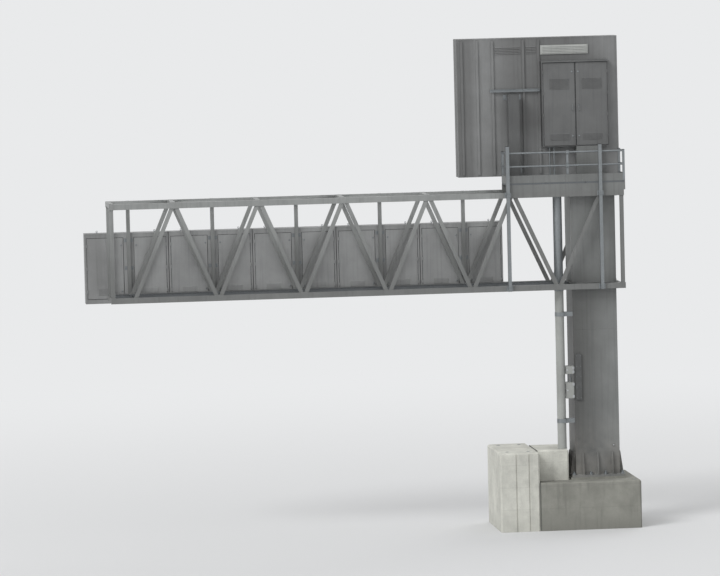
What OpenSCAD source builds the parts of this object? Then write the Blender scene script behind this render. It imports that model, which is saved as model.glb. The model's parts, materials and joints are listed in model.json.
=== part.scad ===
// Overhead sign gantry: a cantilever lattice boom on one box mast, with a
// long message sign on the boom and a tall sign over the mast.
// Millimetres, +Z up. The origin is on the mast's axis at the underside of
// the plinth, the boom runs along -X and the sign faces look along +Y.

/* [Foundation] */
// Height of the concrete plinth
plinth_h = 1300; // [900:10:1700]
// Plinth length from the mast axis to its outer end
plinth_out = 1060; // [900:10:1500]
// Plinth length from the mast axis to the impact block
plinth_in = 1700; // [1300:10:2200]
// Depth of the plinth and the impact block along the road
plinth_d = 2600; // [1800:10:3400]
// Width of the impact block at the carriageway end
block_w = 1070; // [700:10:1600]
// Height of the impact block and the upstand
block_h = 2130; // [1900:10:2600]
// Depth of the upstand along the road
upstand_d = 1500; // [1000:10:1700]
// Clear gap between the upstand and the grout bed
upstand_gap = 70; // [40:5:200]
// Bevel on the exposed concrete edges
arris = 40; // [15:5:60]
// Width of the upright grooves in the impact block
groove_w = 30; // [15:5:60]
// Depth of the upright grooves in the impact block
groove_d = 20; // [10:2:40]

/* [Mast] */
// Width of the mast across the road
mast_w = 1200; // [1000:10:1300]
// Depth of the mast along the road
mast_d = 1100; // [900:10:1200]
// Thickness of the mast plates
mast_t = 25; // [16:1:40]
// How far the base plate stands out past the mast
flange_out = 125; // [100:5:160]
// Thickness of the base plate
flange_t = 60; // [40:5:90]
// Thickness of the grout under the base plate
grout_t = 50; // [30:5:80]
// How far the grout stands out past the base plate
grout_out = 30; // [10:5:60]
// Height of the gussets round the mast foot
gusset_h = 600; // [250:10:800]
// Height of a gusset's outer end and width of its top
gusset_lip = 45; // [15:1:60]
// Distance from a gusset's outer end to the base plate's edge
gusset_set = 5; // [2:1:20]
// Thickness of the gussets
gusset_t = 25; // [15:1:35]
// Diameter of the anchor bolts
bolt_d = 56; // [36:2:64]
// Thickness of the plate that closes the mast top
cap_t = 40; // [20:5:60]

/* [Boom] */
// Height of the boom's underside over the plinth's underside
boom_z = 6460; // [5800:10:7500]
// Depth of the boom from chord edge to chord edge
boom_h = 2660; // [2200:10:3000]
// Width of the boom between the outer sides of its chords
boom_w = 1750; // [1600:10:2000]
// Side of the square chords
chord = 150; // [120:5:180]
// Length of a regular bay of the lattice
bay = 2280; // [2000:10:2500]
// Number of regular bays past the root bay
bays = 4; // [2:1:5]
// Length of the bay at the mast
root_bay = 2400; // [2200:10:2500]
// Distance from the mast axis to the root node of the lattice
root_x = 2200; // [2050:10:2300]
// Distance from the last lower node to the end post
tip_out = 540; // [300:10:800]
// How far the chords run past the mast axis on the outer side
tail = 800; // [720:10:1000]
// Side of the square diagonals
diagonal = 100; // [70:5:120]
// Side of the square end posts
end_post = 100; // [70:5:120]
// Gap between the toes of two diagonals at a node
toe_gap = 20; // [10:2:40]
// Side of the square cross beams
beam = 120; // [90:5:140]
// Side of the square plan braces
brace = 60; // [40:5:80]
// Width of the brackets between mast and chords
bracket_w = 150; // [100:10:220]
// Distance from the mast axis to the middle of a bracket
bracket_x = 420; // [330:10:460]

/* [Walkway] */
// Width of the walkway in the boom
walk_w = 620; // [500:10:700]
// Thickness of the gratings
grating_t = 50; // [30:5:70]
// Gap between two walkway panels
panel_gap = 10; // [5:1:20]

/* [Boom sign] */
// Height of the sign cases on the boom
boom_sign_h = 1900; // [1500:10:2200]
// Depth of the sign cases on the boom
boom_sign_d = 400; // [250:10:500]
// How far the cases hang below the boom's underside
boom_sign_drop = 110; // [20:5:150]
// How far the cases are set towards the tip from the lattice nodes
boom_sign_shift = 60; // [0:10:150]
// Gap between two sign cases
case_gap = 18; // [8:1:30]
// Width of the hangers that carry the cases
hanger_w = 100; // [70:5:160]
// Depth of the hangers that carry the cases
hanger_d = 75; // [50:5:120]

/* [Upper sign] */
// Width of the upper sign
upper_w = 4390; // [3900:10:4600]
// Height of the upper sign
upper_h = 3740; // [3300:10:4300]
// Depth of the upper sign's case
upper_d = 550; // [400:10:700]
// Clear height between the boom and the upper sign
upper_lift = 380; // [300:10:600]
// How far the upper sign reaches past the mast axis on the outer side
upper_out = 900; // [800:10:1100]
// Distance from the mast axis plane to the back of the upper sign
upper_back = 410; // [380:10:500]
// Thickness of the display panels on both signs
display_t = 30; // [15:1:50]
// Width of the trim round the display panels
trim_w = 60; // [40:5:120]
// How far the trim stands out in front of the cases
trim_t = 60; // [40:5:120]
// Gap between two trim or toe board pieces that meet at a corner
joint_gap = 2; // [1:0.5:5]
// Width of an upright rib on the sign's back
rib_w = 60; // [40:5:100]
// Depth of an upright rib on the sign's back
rib_t = 40; // [20:5:60]
// Distance between two upright ribs
rib_step = 420; // [300:10:600]
// Distance from the sign's side to the first rib
rib_first = 105; // [60:5:200]

/* [Rear housing] */
// Width of the housing on the sign's back
housing_w = 1800; // [1500:10:2000]
// Height of the housing on the sign's back
housing_h = 2300; // [1800:10:2600]
// Depth of the housing on the sign's back
housing_d = 250; // [150:10:280]
// Distance from the housing's outer side to the sign's outer side
housing_side = 300; // [150:10:400]
// Distance from the vent plate down to the housing's top
housing_drop = 200; // [50:10:300]
// Thickness of the housing's doors
door_t = 20; // [10:1:40]
// Gap round and between the housing's doors
door_gap = 30; // [10:1:60]
// Width of the vent plate over the housing
vent_w = 1300; // [800:10:1500]
// Height of the vent plate over the housing
vent_h = 250; // [150:10:260]
// Thickness of the vent plate
vent_t = 30; // [15:1:50]
// Distance from the sign's top down to the vent plate
vent_drop = 215; // [100:5:300]

/* [Sign supports] */
// Width of the column between the mast and the housing
column_w = 600; // [400:10:700]
// Depth of the column between the mast and the housing
column_d = 300; // [200:10:340]
// Side of the post between the boom and the upper sign
side_post = 300; // [200:10:320]
// Distance from the mast axis to that post
side_post_x = 2000; // [1800:10:2200]
// Length of that post over the boom
side_post_h = 2600; // [2000:10:3200]
// Gap between that post and the sign's back, filled by cleats
cleat_d = 80; // [50:5:100]
// Height of a cleat
cleat_h = 160; // [100:10:240]
// Side of the foot plate under the post
foot_w = 400; // [340:10:440]
// Thickness of the foot plate under the post
foot_t = 20; // [12:1:30]

/* [Platform] */
// Height of the bearers between the boom and the platform
bearer_h = 200; // [120:10:260]
// Width of the bearers
bearer_w = 80; // [50:5:110]
// Gap between the platform and the column behind it
deck_gap = 50; // [25:5:80]
// How far the platform runs past the chord ends and the tall post
deck_out = 50; // [45:5:120]
// Height of the top guard rail over the platform
rail_top = 800; // [700:10:1200]
// Height of the middle guard rail over the platform
rail_mid = 440; // [350:10:650]
// Diameter of the guard rails
rail_d = 50; // [40:1:60]
// Side of the tall posts on the boom's near side
tall_post = 90; // [70:5:120]
// Distance from the mast axis to the tall post on the carriageway side
tall_post_in = 2340; // [2200:10:2450]
// Distance from the mast axis to the tall post on the outer side
tall_post_side = 170; // [0:10:400]
// How far the tall posts stand over the top rail
tall_post_over = 190; // [60:10:300]
// Side of the short rail posts
short_post = 60; // [50:5:80]
// Distance from the mast axis to the short post behind the near rails
mid_post = 700; // [400:10:1000]
// Height of the toe boards
toe_h = 200; // [100:10:220]
// Thickness of the toe boards
toe_t = 10; // [6:1:16]

/* [Riser] */
// Diameter of the cable riser
riser_d = 240; // [180:10:280]
// How far the riser's flanges stand out past the pipe
riser_edge = 10; // [5:1:40]
// Gap between the riser's flanges and the walkway
riser_gap = 40; // [20:5:60]
// Thickness of the riser's end flanges
riser_flange_t = 30; // [15:1:50]
// Height of a riser bracket
riser_bracket_h = 120; // [80:10:200]
// Height of the lower riser bracket over the upstand
riser_bracket_low = 700; // [400:10:1200]
// Height of the upper riser bracket over the upstand
riser_bracket_high = 3590; // [2000:10:3900]
// Depth of the two boxes on the mast's side by the riser
box_d = 240; // [160:10:300]
// Height of the lower box, twice that of the upper one
box_h = 440; // [300:10:600]
// Gap between the two boxes
box_gap = 220; // [60:10:300]
// Height of the lower box's floor over the upstand
box_z = 1360; // [1200:10:1700]

/* [Hidden] */
$fn = 48;

concrete = "#888881";
pale_concrete = "#c4c4bc";
mast_grey = "#666867";
boom_grey = "#797b7a";
sign_grey = "#757676";
display_black = "#1a1b1d";
galvanised = "#8b8f91";
riser_grey = "#9fa19e";

// How far a cutting shape runs past what it cuts
cut_past = 1;

// Share of the impact block's width in front of each groove
groove_shares = [0.41, 0.735];

// Washer, nut and stud end of an anchor bolt
washer_d = 2 * bolt_d;
washer_t = 0.2 * bolt_d;
nut_d = 1.7 * bolt_d;
stud_h = 1.6 * bolt_d;

// Levels
plate_z = plinth_h + grout_t;
mast_z = plate_z + flange_t;
boom_top = boom_z + boom_h;
deck_z = boom_top + bearer_h;
deck_top = deck_z + grating_t;
upper_z = boom_top + upper_lift;
vent_top = upper_z + upper_h - vent_drop;
housing_top = vent_top - vent_h - housing_drop;
housing_z = housing_top - housing_h;

// Places along the boom, from the tip to the mast
top_nodes = [for (k = [0:bays]) -(root_x + k * bay)];
low_nodes = [for (k = [0:bays]) -(root_x + (k + 0.5) * bay)];
root_low = -(root_x - root_bay / 2);
root_top = -(root_x - root_bay);
tip_x = low_nodes[bays] - tip_out;
boom_end = tip_x - end_post / 2;

// Places across the boom
chord_in = boom_w / 2 - chord;
chord_out = boom_w / 2;
case_back = chord_out + hanger_d;
case_front = case_back + boom_sign_d;

// Base plate, grout and the end of the upstand
plate_w = mast_w + 2 * flange_out;
plate_d = mast_d + 2 * flange_out;
upstand_x = -(plate_w / 2 + grout_out + upstand_gap);
block_x = -(plinth_in + block_w);

// Upper sign
upper_x0 = upper_out - upper_w;
upper_front = upper_back + upper_d;
housing_x1 = upper_out - housing_side;
housing_x0 = housing_x1 - housing_w;
column_y = upper_back - column_d;
side_post_y = upper_back - cleat_d - side_post / 2;

// Platform
deck_far = min(column_y, side_post_y - foot_w / 2) - deck_gap;
deck_x0 = -(tall_post_in + deck_out);
deck_x1 = tail + deck_out;
rail_y = -chord_out + rail_d / 2;

// Riser
riser_flange_r = riser_d / 2 + riser_edge;
riser_x = upstand_x - riser_flange_r;
riser_y = -(walk_w / 2 + riser_gap + riser_flange_r);

module block(x, y, z) {
    translate([x[0], y[0], z[0]])
        cube([x[1] - x[0], y[1] - y[0], z[1] - z[0]]);
}

// A rectangle with its four corners cut off by c
module cut_rectangle(x, y, c) {
    polygon([
        [x[0] + c, y[0]], [x[1] - c, y[0]], [x[1], y[0] + c], [x[1], y[1] - c],
        [x[1] - c, y[1]], [x[0] + c, y[1]], [x[0], y[1] - c], [x[0], y[0] + c]
    ]);
}

// A profile with its two upper corners cut off by c
module topped_profile(x, z, c) {
    polygon([
        [x[0], z[0]], [x[1], z[0]], [x[1], z[1] - c],
        [x[1] - c, z[1]], [x[0] + c, z[1]], [x[0], z[1] - c]
    ]);
}

// A cast block whose upright and upper edges are bevelled
module cast_block(x, y, z) {
    intersection() {
        translate([0, 0, z[0]])
            linear_extrude(z[1] - z[0])
                cut_rectangle(x, y, arris);
        translate([0, y[1], 0])
            rotate([90, 0, 0])
                linear_extrude(y[1] - y[0])
                    topped_profile(x, z, arris);
        translate([x[0], 0, 0])
            rotate([90, 0, 90])
                linear_extrude(x[1] - x[0])
                    topped_profile(y, z, arris);
    }
}

module plinth() {
    color(concrete)
        cast_block([-plinth_in, plinth_out], [-plinth_d / 2, plinth_d / 2], [0, plinth_h]);
}

module impact_block() {
    color(pale_concrete)
        difference() {
            cast_block([block_x, -plinth_in], [-plinth_d / 2, plinth_d / 2], [0, block_h]);
            for (side = [-1, 1])
                for (share = groove_shares)
                    translate([block_x + share * block_w, side * plinth_d / 2, block_h / 2])
                        cube([groove_w, 2 * groove_d, block_h + 2 * cut_past], center = true);
        }
}

module upstand() {
    color(pale_concrete)
        cast_block([-plinth_in, upstand_x], [-upstand_d / 2, upstand_d / 2], [plinth_h, block_h]);
}

module grout_bed() {
    half_w = plate_w / 2 + grout_out;
    half_d = plate_d / 2 + grout_out;
    color(concrete)
        block([-half_w, half_w], [-half_d, half_d], [plinth_h, plate_z]);
}

module base_plate() {
    color(mast_grey)
        block([-plate_w / 2, plate_w / 2], [-plate_d / 2, plate_d / 2], [plate_z, mast_z]);
}

module anchor_bolt() {
    cylinder(d = washer_d, h = washer_t);
    cylinder(d = nut_d, h = bolt_d, $fn = 6);
    cylinder(d = bolt_d, h = stud_h);
}

module anchor_bolts() {
    bolt_x = mast_w / 2 + flange_out / 2;
    bolt_y = mast_d / 2 + flange_out / 2;
    places = concat(
        [for (sx = [-1, 1], sy = [-1, 1]) [sx * bolt_x, sy * bolt_y]],
        [for (sx = [-1, 1], sy = [-1, 1]) [sx * mast_w / 6, sy * bolt_y]],
        [for (sx = [-1, 1], sy = [-1, 1]) [sx * bolt_x, sy * mast_d / 6]]
    );
    color(galvanised)
        for (p = places)
            translate([p[0], p[1], mast_z])
                anchor_bolt();
}

// One gusset standing out along +X, its back on the Z axis
module gusset() {
    reach = flange_out - gusset_set;
    translate([0, gusset_t / 2, 0])
        rotate([90, 0, 0])
            linear_extrude(gusset_t)
                polygon([[0, 0], [reach, 0], [reach, gusset_lip], [gusset_lip, gusset_h], [0, gusset_h]]);
}

module mast_gussets() {
    color(mast_grey)
        translate([0, 0, mast_z])
            for (k = [-1:1]) {
                for (turn = [0, 180])
                    rotate([0, 0, turn])
                        translate([mast_w / 2, k * mast_d / 3, 0])
                            gusset();
                for (turn = [90, 270])
                    rotate([0, 0, turn])
                        translate([mast_d / 2, k * mast_w / 3, 0])
                            gusset();
            }
}

module mast() {
    top = boom_top - cap_t;
    color(mast_grey)
        translate([0, 0, mast_z])
            linear_extrude(top - mast_z)
                difference() {
                    square([mast_w, mast_d], center = true);
                    square([mast_w - 2 * mast_t, mast_d - 2 * mast_t], center = true);
                }
}

module mast_cap() {
    color(mast_grey)
        block([-mast_w / 2, mast_w / 2], [-mast_d / 2, mast_d / 2], [boom_top - cap_t, boom_top]);
}

// The four brackets between the mast's sides and one pair of chords
module bracket_set(z0) {
    for (sx = [-1, 1])
        for (side = [0, 1])
            mirror([0, side, 0])
                translate([sx * bracket_x, 0, 0])
                    block([-bracket_w / 2, bracket_w / 2], [mast_d / 2, chord_in], [z0, z0 + chord]);
}

module root_brackets() {
    color(mast_grey) {
        bracket_set(boom_z);
        bracket_set(boom_top - chord);
    }
}

// One chord on the far side, or on the near side after a mirror
module chord_bar(z0) {
    color(boom_grey)
        block([boom_end, tail], [chord_in, chord_out], [z0, z0 + chord]);
}

module near_side() {
    mirror([0, 1, 0])
        children();
}

module near_top_chord() {
    near_side()
        chord_bar(boom_top - chord);
}

module near_bottom_chord() {
    near_side()
        chord_bar(boom_z);
}

module far_top_chord() {
    chord_bar(boom_top - chord);
}

module far_bottom_chord() {
    chord_bar(boom_z);
}

// Half the length that a bar of width w covers where it is cut at a slope
function cut_half(w, run, rise) = w / 2 * sqrt(run * run + rise * rise) / rise;

// A sloping bar from one lower node to one upper node, cut flush on both
// chords and kept half a toe gap off each node
module diagonal_bar(low, high) {
    rise = boom_h - 2 * chord;
    way = sign(high - low);
    half = cut_half(diagonal, abs(high - low), rise);
    off = half + toe_gap / 2;
    a = low + way * off;
    b = high - way * off;
    translate([0, (boom_w - chord + diagonal) / 2, boom_z + chord])
        rotate([90, 0, 0])
            linear_extrude(diagonal)
                polygon([[a - half, 0], [a + half, 0], [b + half, rise], [b - half, rise]]);
}

module diagonals() {
    color(boom_grey) {
        for (k = [0:bays])
            diagonal_bar(low_nodes[k], top_nodes[k]);
        for (k = [0:bays - 1])
            diagonal_bar(low_nodes[k], top_nodes[k + 1]);
        diagonal_bar(root_low, top_nodes[0]);
        diagonal_bar(root_low, root_top);
    }
}

module near_diagonals() {
    near_side()
        diagonals();
}

module far_diagonals() {
    diagonals();
}

module end_posts() {
    mid_y = (boom_w - chord) / 2;
    color(boom_grey)
        for (side = [-1, 1])
            for (x = [tip_x, tail - end_post / 2])
                translate([x, side * mid_y, 0])
                    block([-end_post / 2, end_post / 2], [-end_post / 2, end_post / 2],
                        [boom_z + chord, boom_top - chord]);
}

// Cross beams between the inner sides of two chords
module cross_beams(places, z0) {
    color(boom_grey)
        for (x = places)
            block([x - beam / 2, x + beam / 2], [-chord_in, chord_in], [z0, z0 + beam]);
}

// The last upper beam carries the side post and the last lower one lies
// against the mast
end_beam = tip_x - end_post / 2 + beam / 2;
tail_beam = tail - beam / 2;
mast_beam = -(mast_w + beam) / 2;
top_beams = concat([end_beam], [for (k = [bays:-1:1]) top_nodes[k]], [-side_post_x]);
low_beams = concat([end_beam], [for (k = [bays:-1:0]) low_nodes[k]], [mast_beam]);

module top_cross_beams() {
    cross_beams(concat(top_beams, [tail_beam]), boom_top - beam);
}

module bottom_cross_beams() {
    cross_beams(concat(low_beams, [tail_beam]), boom_z);
}

// Braces lying flat between the cross beams, leaning each way in turn, the
// last one running to the far chord at the mast
module plan_bracing(places, z0) {
    rise = 2 * chord_in;
    spans = len(places) - 1;
    color(boom_grey)
        for (k = [0:spans - 1]) {
            run = places[k + 1] - places[k] - beam;
            half = cut_half(brace, run, rise);
            reach = run / 2 - half - toe_gap;
            way = (spans - k) % 2 == 1 ? 1 : -1;
            middle = (places[k] + places[k + 1]) / 2;
            a = middle - way * reach;
            b = middle + way * reach;
            translate([0, -chord_in, z0])
                linear_extrude(brace)
                    polygon([[a - half, 0], [a + half, 0], [b + half, rise], [b - half, rise]]);
        }
}

module top_plan_bracing() {
    plan_bracing(top_beams, boom_top - (beam + brace) / 2);
}

module bottom_plan_bracing() {
    last = len(low_beams) - 1;
    plan_bracing([for (k = [1:last]) low_beams[k]], boom_z + (beam - brace) / 2);
}

module boom_walkway() {
    z0 = boom_z + beam;
    color(galvanised)
        for (k = [0:len(low_beams) - 2])
            block([low_beams[k] + panel_gap / 2, low_beams[k + 1] - panel_gap / 2],
                [-walk_w / 2, walk_w / 2], [z0, z0 + grating_t]);
}

module sign_hangers() {
    color(boom_grey)
        for (x = low_nodes)
            block([x - hanger_w / 2, x + hanger_w / 2], [chord_out, case_back], [boom_z, boom_top]);
}

boom_sign_z = boom_z - boom_sign_drop;
case_half = (bay - case_gap) / 2;
case_middles = [for (x = low_nodes) x - boom_sign_shift];
boom_sign_x0 = case_middles[bays] - case_half;
boom_sign_x1 = case_middles[0] + case_half;

module boom_sign_cases() {
    color(sign_grey)
        for (x = case_middles)
            block([x - case_half, x + case_half], [case_back, case_front],
                [boom_sign_z, boom_sign_z + boom_sign_h]);
}

module boom_sign_displays() {
    inner_half = case_half - trim_w;
    color(display_black)
        for (x = case_middles)
            block([x - inner_half, x + inner_half], [case_front, case_front + display_t],
                [boom_sign_z + trim_w, boom_sign_z + boom_sign_h - trim_w]);
}

// Four bars round a display panel, with the uprights between the others
module trim_frame(x, z, y0) {
    y = [y0, y0 + trim_t];
    upright = [z[0] + trim_w + joint_gap, z[1] - trim_w - joint_gap];
    block(x, y, [z[0], z[0] + trim_w]);
    block(x, y, [z[1] - trim_w, z[1]]);
    block([x[0], x[0] + trim_w], y, upright);
    block([x[1] - trim_w, x[1]], y, upright);
}

module boom_sign_trim() {
    color(sign_grey)
        trim_frame([boom_sign_x0, boom_sign_x1], [boom_sign_z, boom_sign_z + boom_sign_h], case_front);
}

module upper_sign_case() {
    color(sign_grey)
        block([upper_x0, upper_out], [upper_back, upper_front], [upper_z, upper_z + upper_h]);
}

module upper_sign_display() {
    color(display_black)
        block([upper_x0 + trim_w, upper_out - trim_w], [upper_front, upper_front + display_t],
            [upper_z + trim_w, upper_z + upper_h - trim_w]);
}

module upper_sign_trim() {
    color(sign_grey)
        trim_frame([upper_x0, upper_out], [upper_z, upper_z + upper_h], upper_front);
}

// Upright ribs on the sign's back beside the housing
module upper_sign_ribs() {
    first = upper_x0 + rib_first;
    count = floor((housing_x0 - first - rib_w) / rib_step);
    color(sign_grey)
        for (k = [0:count])
            if (abs(first + k * rib_step + rib_w / 2 + side_post_x) > (side_post + rib_w) / 2)
                translate([first + k * rib_step, upper_back - rib_t, upper_z + trim_w])
                    cube([rib_w, rib_t, upper_h - 2 * trim_w]);
}

module rear_housing() {
    color(sign_grey)
        block([housing_x0, housing_x1], [upper_back - housing_d, upper_back],
            [housing_z, housing_top]);
}

module housing_doors() {
    leaf = (housing_w - 3 * door_gap) / 2;
    back = upper_back - housing_d;
    color(sign_grey)
        for (x = [housing_x0 + door_gap, housing_x1 - door_gap - leaf])
            block([x, x + leaf], [back - door_t, back],
                [housing_z + door_gap, housing_top - door_gap]);
}

module vent_plate() {
    color(riser_grey)
        block([housing_x0, housing_x0 + vent_w], [upper_back - vent_t, upper_back],
            [vent_top - vent_h, vent_top]);
}

module head_column() {
    color(mast_grey)
        block([-column_w / 2, column_w / 2], [column_y, upper_back], [boom_top, housing_z]);
}

module side_post_and_foot() {
    color(sign_grey)
        translate([-side_post_x, side_post_y, boom_top]) {
            translate([-foot_w / 2, -foot_w / 2, 0])
                cube([foot_w, foot_w, foot_t]);
            translate([-side_post / 2, -side_post / 2, 0])
                cube([side_post, side_post, side_post_h]);
        }
}

module side_post_cleats() {
    x = -side_post_x - side_post / 2;
    low = upper_z + trim_w;
    high = boom_top + side_post_h - cleat_h;
    color(galvanised)
        for (z = [low, high])
            block([x, x + side_post], [upper_back - cleat_d, upper_back], [z, z + cleat_h]);
}

// One bearer lies along the near chord, the other on the cross beams and
// the mast cap
module platform_bearers() {
    color(boom_grey)
        for (y = [-chord_out, deck_far - bearer_w])
            block([deck_x0, deck_x1], [y, y + bearer_w], [boom_top, deck_z]);
}

module platform_deck() {
    color(galvanised)
        block([deck_x0, deck_x1], [-chord_out, deck_far], [deck_z, deck_top]);
}

module tall_posts() {
    top = deck_top + rail_top + tall_post_over;
    color(galvanised)
        for (x = [-tall_post_in, tall_post_side])
            block([x - tall_post / 2, x + tall_post / 2], [-chord_out - tall_post, -chord_out],
                [boom_z, top]);
}

// Three posts stand at the platform's corners, and one stands behind the
// near rails, which lie against its face
module short_posts() {
    top = deck_top + rail_top + rail_d / 2;
    right = deck_x1 - short_post;
    far = deck_far - short_post;
    middle = [-mid_post - short_post / 2, rail_y + rail_d / 2];
    color(galvanised)
        for (p = [[right, -chord_out], [right, far], [deck_x0, far], middle])
            block([p[0], p[0] + short_post], [p[1], p[1] + short_post], [deck_top, top]);
}

// A round rail between two points on one level
module rail(from, to) {
    run = to - from;
    translate(from)
        rotate([0, 90, atan2(run[1], run[0])])
            cylinder(d = rail_d, h = norm(run));
}

module guard_rails() {
    left = deck_x0 + short_post / 2;
    right = deck_x1 - short_post / 2;
    far = deck_far - short_post;
    color(galvanised)
        for (z = [deck_top + rail_mid, deck_top + rail_top]) {
            rail([-tall_post_in - tall_post / 2, rail_y, z], [deck_x1 - short_post, rail_y, z]);
            rail([left, rail_y + rail_d / 2, z], [left, far, z]);
            rail([right, -chord_out + short_post, z], [right, far, z]);
        }
}

module toe_boards() {
    z = [deck_top, deck_top + toe_h];
    far = deck_far - short_post;
    color(galvanised) {
        block([deck_x0, deck_x1 - short_post], [-chord_out, -chord_out + toe_t], z);
        block([deck_x0, deck_x0 + toe_t], [-chord_out + toe_t + joint_gap, far], z);
        block([deck_x1 - toe_t, deck_x1], [-chord_out + short_post, far], z);
    }
}

// The riser stands on the upstand and runs up through the boom to the
// underside of the platform
module riser_pipe() {
    color(riser_grey)
        translate([riser_x, riser_y, block_h]) {
            cylinder(d = riser_d, h = deck_z - block_h);
            cylinder(r = riser_flange_r, h = riser_flange_t);
            translate([0, 0, deck_z - block_h - riser_flange_t])
                cylinder(r = riser_flange_r, h = riser_flange_t);
        }
}

// Arms from the mast's side that hold the riser
module riser_brackets() {
    color(galvanised)
        for (low = [riser_bracket_low, riser_bracket_high])
            translate([0, riser_y, block_h + low])
                block([riser_x + riser_d / 2, -mast_w / 2], [-riser_bracket_h / 2, riser_bracket_h / 2],
                    [0, riser_bracket_h]);
}

// Two boxes on the mast's side, flush with its near face
module riser_boxes() {
    x = [riser_x + riser_flange_r, -mast_w / 2];
    y = [-mast_d / 2, -mast_d / 2 + box_d];
    low = block_h + box_z;
    high = low + box_h + box_gap;
    color(riser_grey) {
        block(x, y, [low, low + box_h]);
        block(x, y, [high, high + box_h / 2]);
    }
}

plinth();
impact_block();
upstand();
grout_bed();
base_plate();
anchor_bolts();
mast_gussets();
mast();
mast_cap();
root_brackets();
near_top_chord();
near_bottom_chord();
far_top_chord();
far_bottom_chord();
near_diagonals();
far_diagonals();
end_posts();
top_cross_beams();
bottom_cross_beams();
top_plan_bracing();
bottom_plan_bracing();
boom_walkway();
sign_hangers();
boom_sign_cases();
boom_sign_displays();
boom_sign_trim();
upper_sign_case();
upper_sign_display();
upper_sign_trim();
upper_sign_ribs();
rear_housing();
housing_doors();
vent_plate();
head_column();
side_post_and_foot();
side_post_cleats();
platform_bearers();
platform_deck();
tall_posts();
short_posts();
guard_rails();
toe_boards();
riser_pipe();
riser_brackets();
riser_boxes();
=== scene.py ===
"""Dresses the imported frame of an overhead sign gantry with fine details, finishes and a stage."""
import json
import math
from collections import namedtuple

import bpy
import numpy as np
from mathutils import Matrix, Vector


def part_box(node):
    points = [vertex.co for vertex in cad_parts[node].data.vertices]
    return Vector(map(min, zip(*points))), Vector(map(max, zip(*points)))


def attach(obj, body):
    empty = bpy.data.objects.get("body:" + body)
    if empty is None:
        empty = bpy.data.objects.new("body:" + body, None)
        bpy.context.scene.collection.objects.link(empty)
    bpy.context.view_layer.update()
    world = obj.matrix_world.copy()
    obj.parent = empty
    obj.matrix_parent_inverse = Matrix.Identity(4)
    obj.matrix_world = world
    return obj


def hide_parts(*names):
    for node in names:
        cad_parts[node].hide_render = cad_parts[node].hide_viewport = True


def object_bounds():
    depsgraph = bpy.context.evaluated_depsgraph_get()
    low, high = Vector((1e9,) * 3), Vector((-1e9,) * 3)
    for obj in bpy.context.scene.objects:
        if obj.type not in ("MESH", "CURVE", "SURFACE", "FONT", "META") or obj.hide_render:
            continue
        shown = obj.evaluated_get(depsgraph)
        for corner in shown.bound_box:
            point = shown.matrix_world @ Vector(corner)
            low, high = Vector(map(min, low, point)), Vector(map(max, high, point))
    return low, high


bl_info = {
    "name": "Overhead sign gantry",
    "version": (1, 0, 0),
    "blender": (4, 5, 0),
    "location": "3D View > Sidebar > Gantry",
    "description": "Adds the details, finishes and stage of an overhead sign gantry",
    "category": "Object",
}

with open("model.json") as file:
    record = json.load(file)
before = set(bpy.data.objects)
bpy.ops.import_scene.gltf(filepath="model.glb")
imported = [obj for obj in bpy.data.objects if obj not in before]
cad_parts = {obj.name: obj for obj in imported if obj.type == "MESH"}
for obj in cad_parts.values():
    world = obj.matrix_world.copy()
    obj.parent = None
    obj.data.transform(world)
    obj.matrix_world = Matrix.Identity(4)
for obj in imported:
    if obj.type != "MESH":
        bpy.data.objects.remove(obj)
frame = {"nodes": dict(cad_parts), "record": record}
CAD_BOX = [list(corner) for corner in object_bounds()]

X, Y, Z = 0, 1, 2
# Two points closer than this, in metres, are at the same level
SAME = 0.002


def span(node):
    """The lowest and the highest corner of a CAD node, as arrays."""
    low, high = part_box(node)
    return np.array(low), np.array(high)


def solids(node):
    """The separate solids of a CAD node, each as an array of its corner points.

    Corners at one place share a label, and every triangle hands its lowest
    label to its three corners until no label changes.
    """
    mesh = frame["nodes"][node].data
    points = np.empty(len(mesh.vertices) * 3, np.float32)
    mesh.vertices.foreach_get("co", points)
    corners = np.empty(len(mesh.loops), np.int32)
    mesh.loops.foreach_get("vertex_index", corners)
    places, same = np.unique(points.reshape(-1, 3).round(4), axis=0, return_inverse=True)
    triangles = same.reshape(-1)[corners].reshape(-1, 3)
    label = np.arange(len(places))
    while True:
        lowest = np.repeat(label[triangles].min(1), 3)
        handed_on = label.copy()
        np.minimum.at(handed_on, triangles.reshape(-1), lowest)
        if (handed_on == label).all():
            return [places[label == k].astype(float) for k in np.unique(label)]
        label = handed_on


def boxes(node):
    """The lowest and highest corners of each solid of a CAD node, as two arrays."""
    parts = solids(node)
    return np.array([p.min(0) for p in parts]), np.array([p.max(0) for p in parts])


def each_box(node, axis=None):
    """The two corners of each solid of a CAD node, in order along an axis if one is given."""
    pairs = list(zip(*boxes(node)))
    return pairs if axis is None else sorted(pairs, key=lambda pair: pair[0][axis])


def chord_levels(side):
    """The heights of a side's bottom and top chord."""
    chords = (span(f"{side}_{level}_chord") for level in ("bottom", "top"))
    return np.array([np.mean([corner[Z] for corner in chord]) for chord in chords])


# Shapes. Each is a set of points, the points that the face corners use, and the
# number of corners of each face.

Shape = namedtuple("Shape", "points corners sides")


def carried(rings, closed=False):
    """The surface of a ring carried along a path, rings[i, j] being point j at step i.

    A band of four-sided faces joins each ring to the next. An open path ends in
    two flat faces, and on a closed one the last ring joins the first.
    """
    steps, around = rings.shape[:2]
    here = np.arange(steps if closed else steps - 1)[:, None] * around
    there = (here + around) % (steps * around)
    j = np.arange(around)[None, :]
    k = (j + 1) % around
    corners = np.stack([here + j, here + k, there + k, there + j], -1).reshape(-1)
    sides = np.full(len(corners) // 4, 4)
    if not closed:
        corners = np.concatenate([corners, j[0, ::-1], j[0] + (steps - 1) * around])
        sides = np.append(sides, [around, around])
    return Shape(rings.reshape(-1, 3).astype(float), corners, sides)


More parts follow.
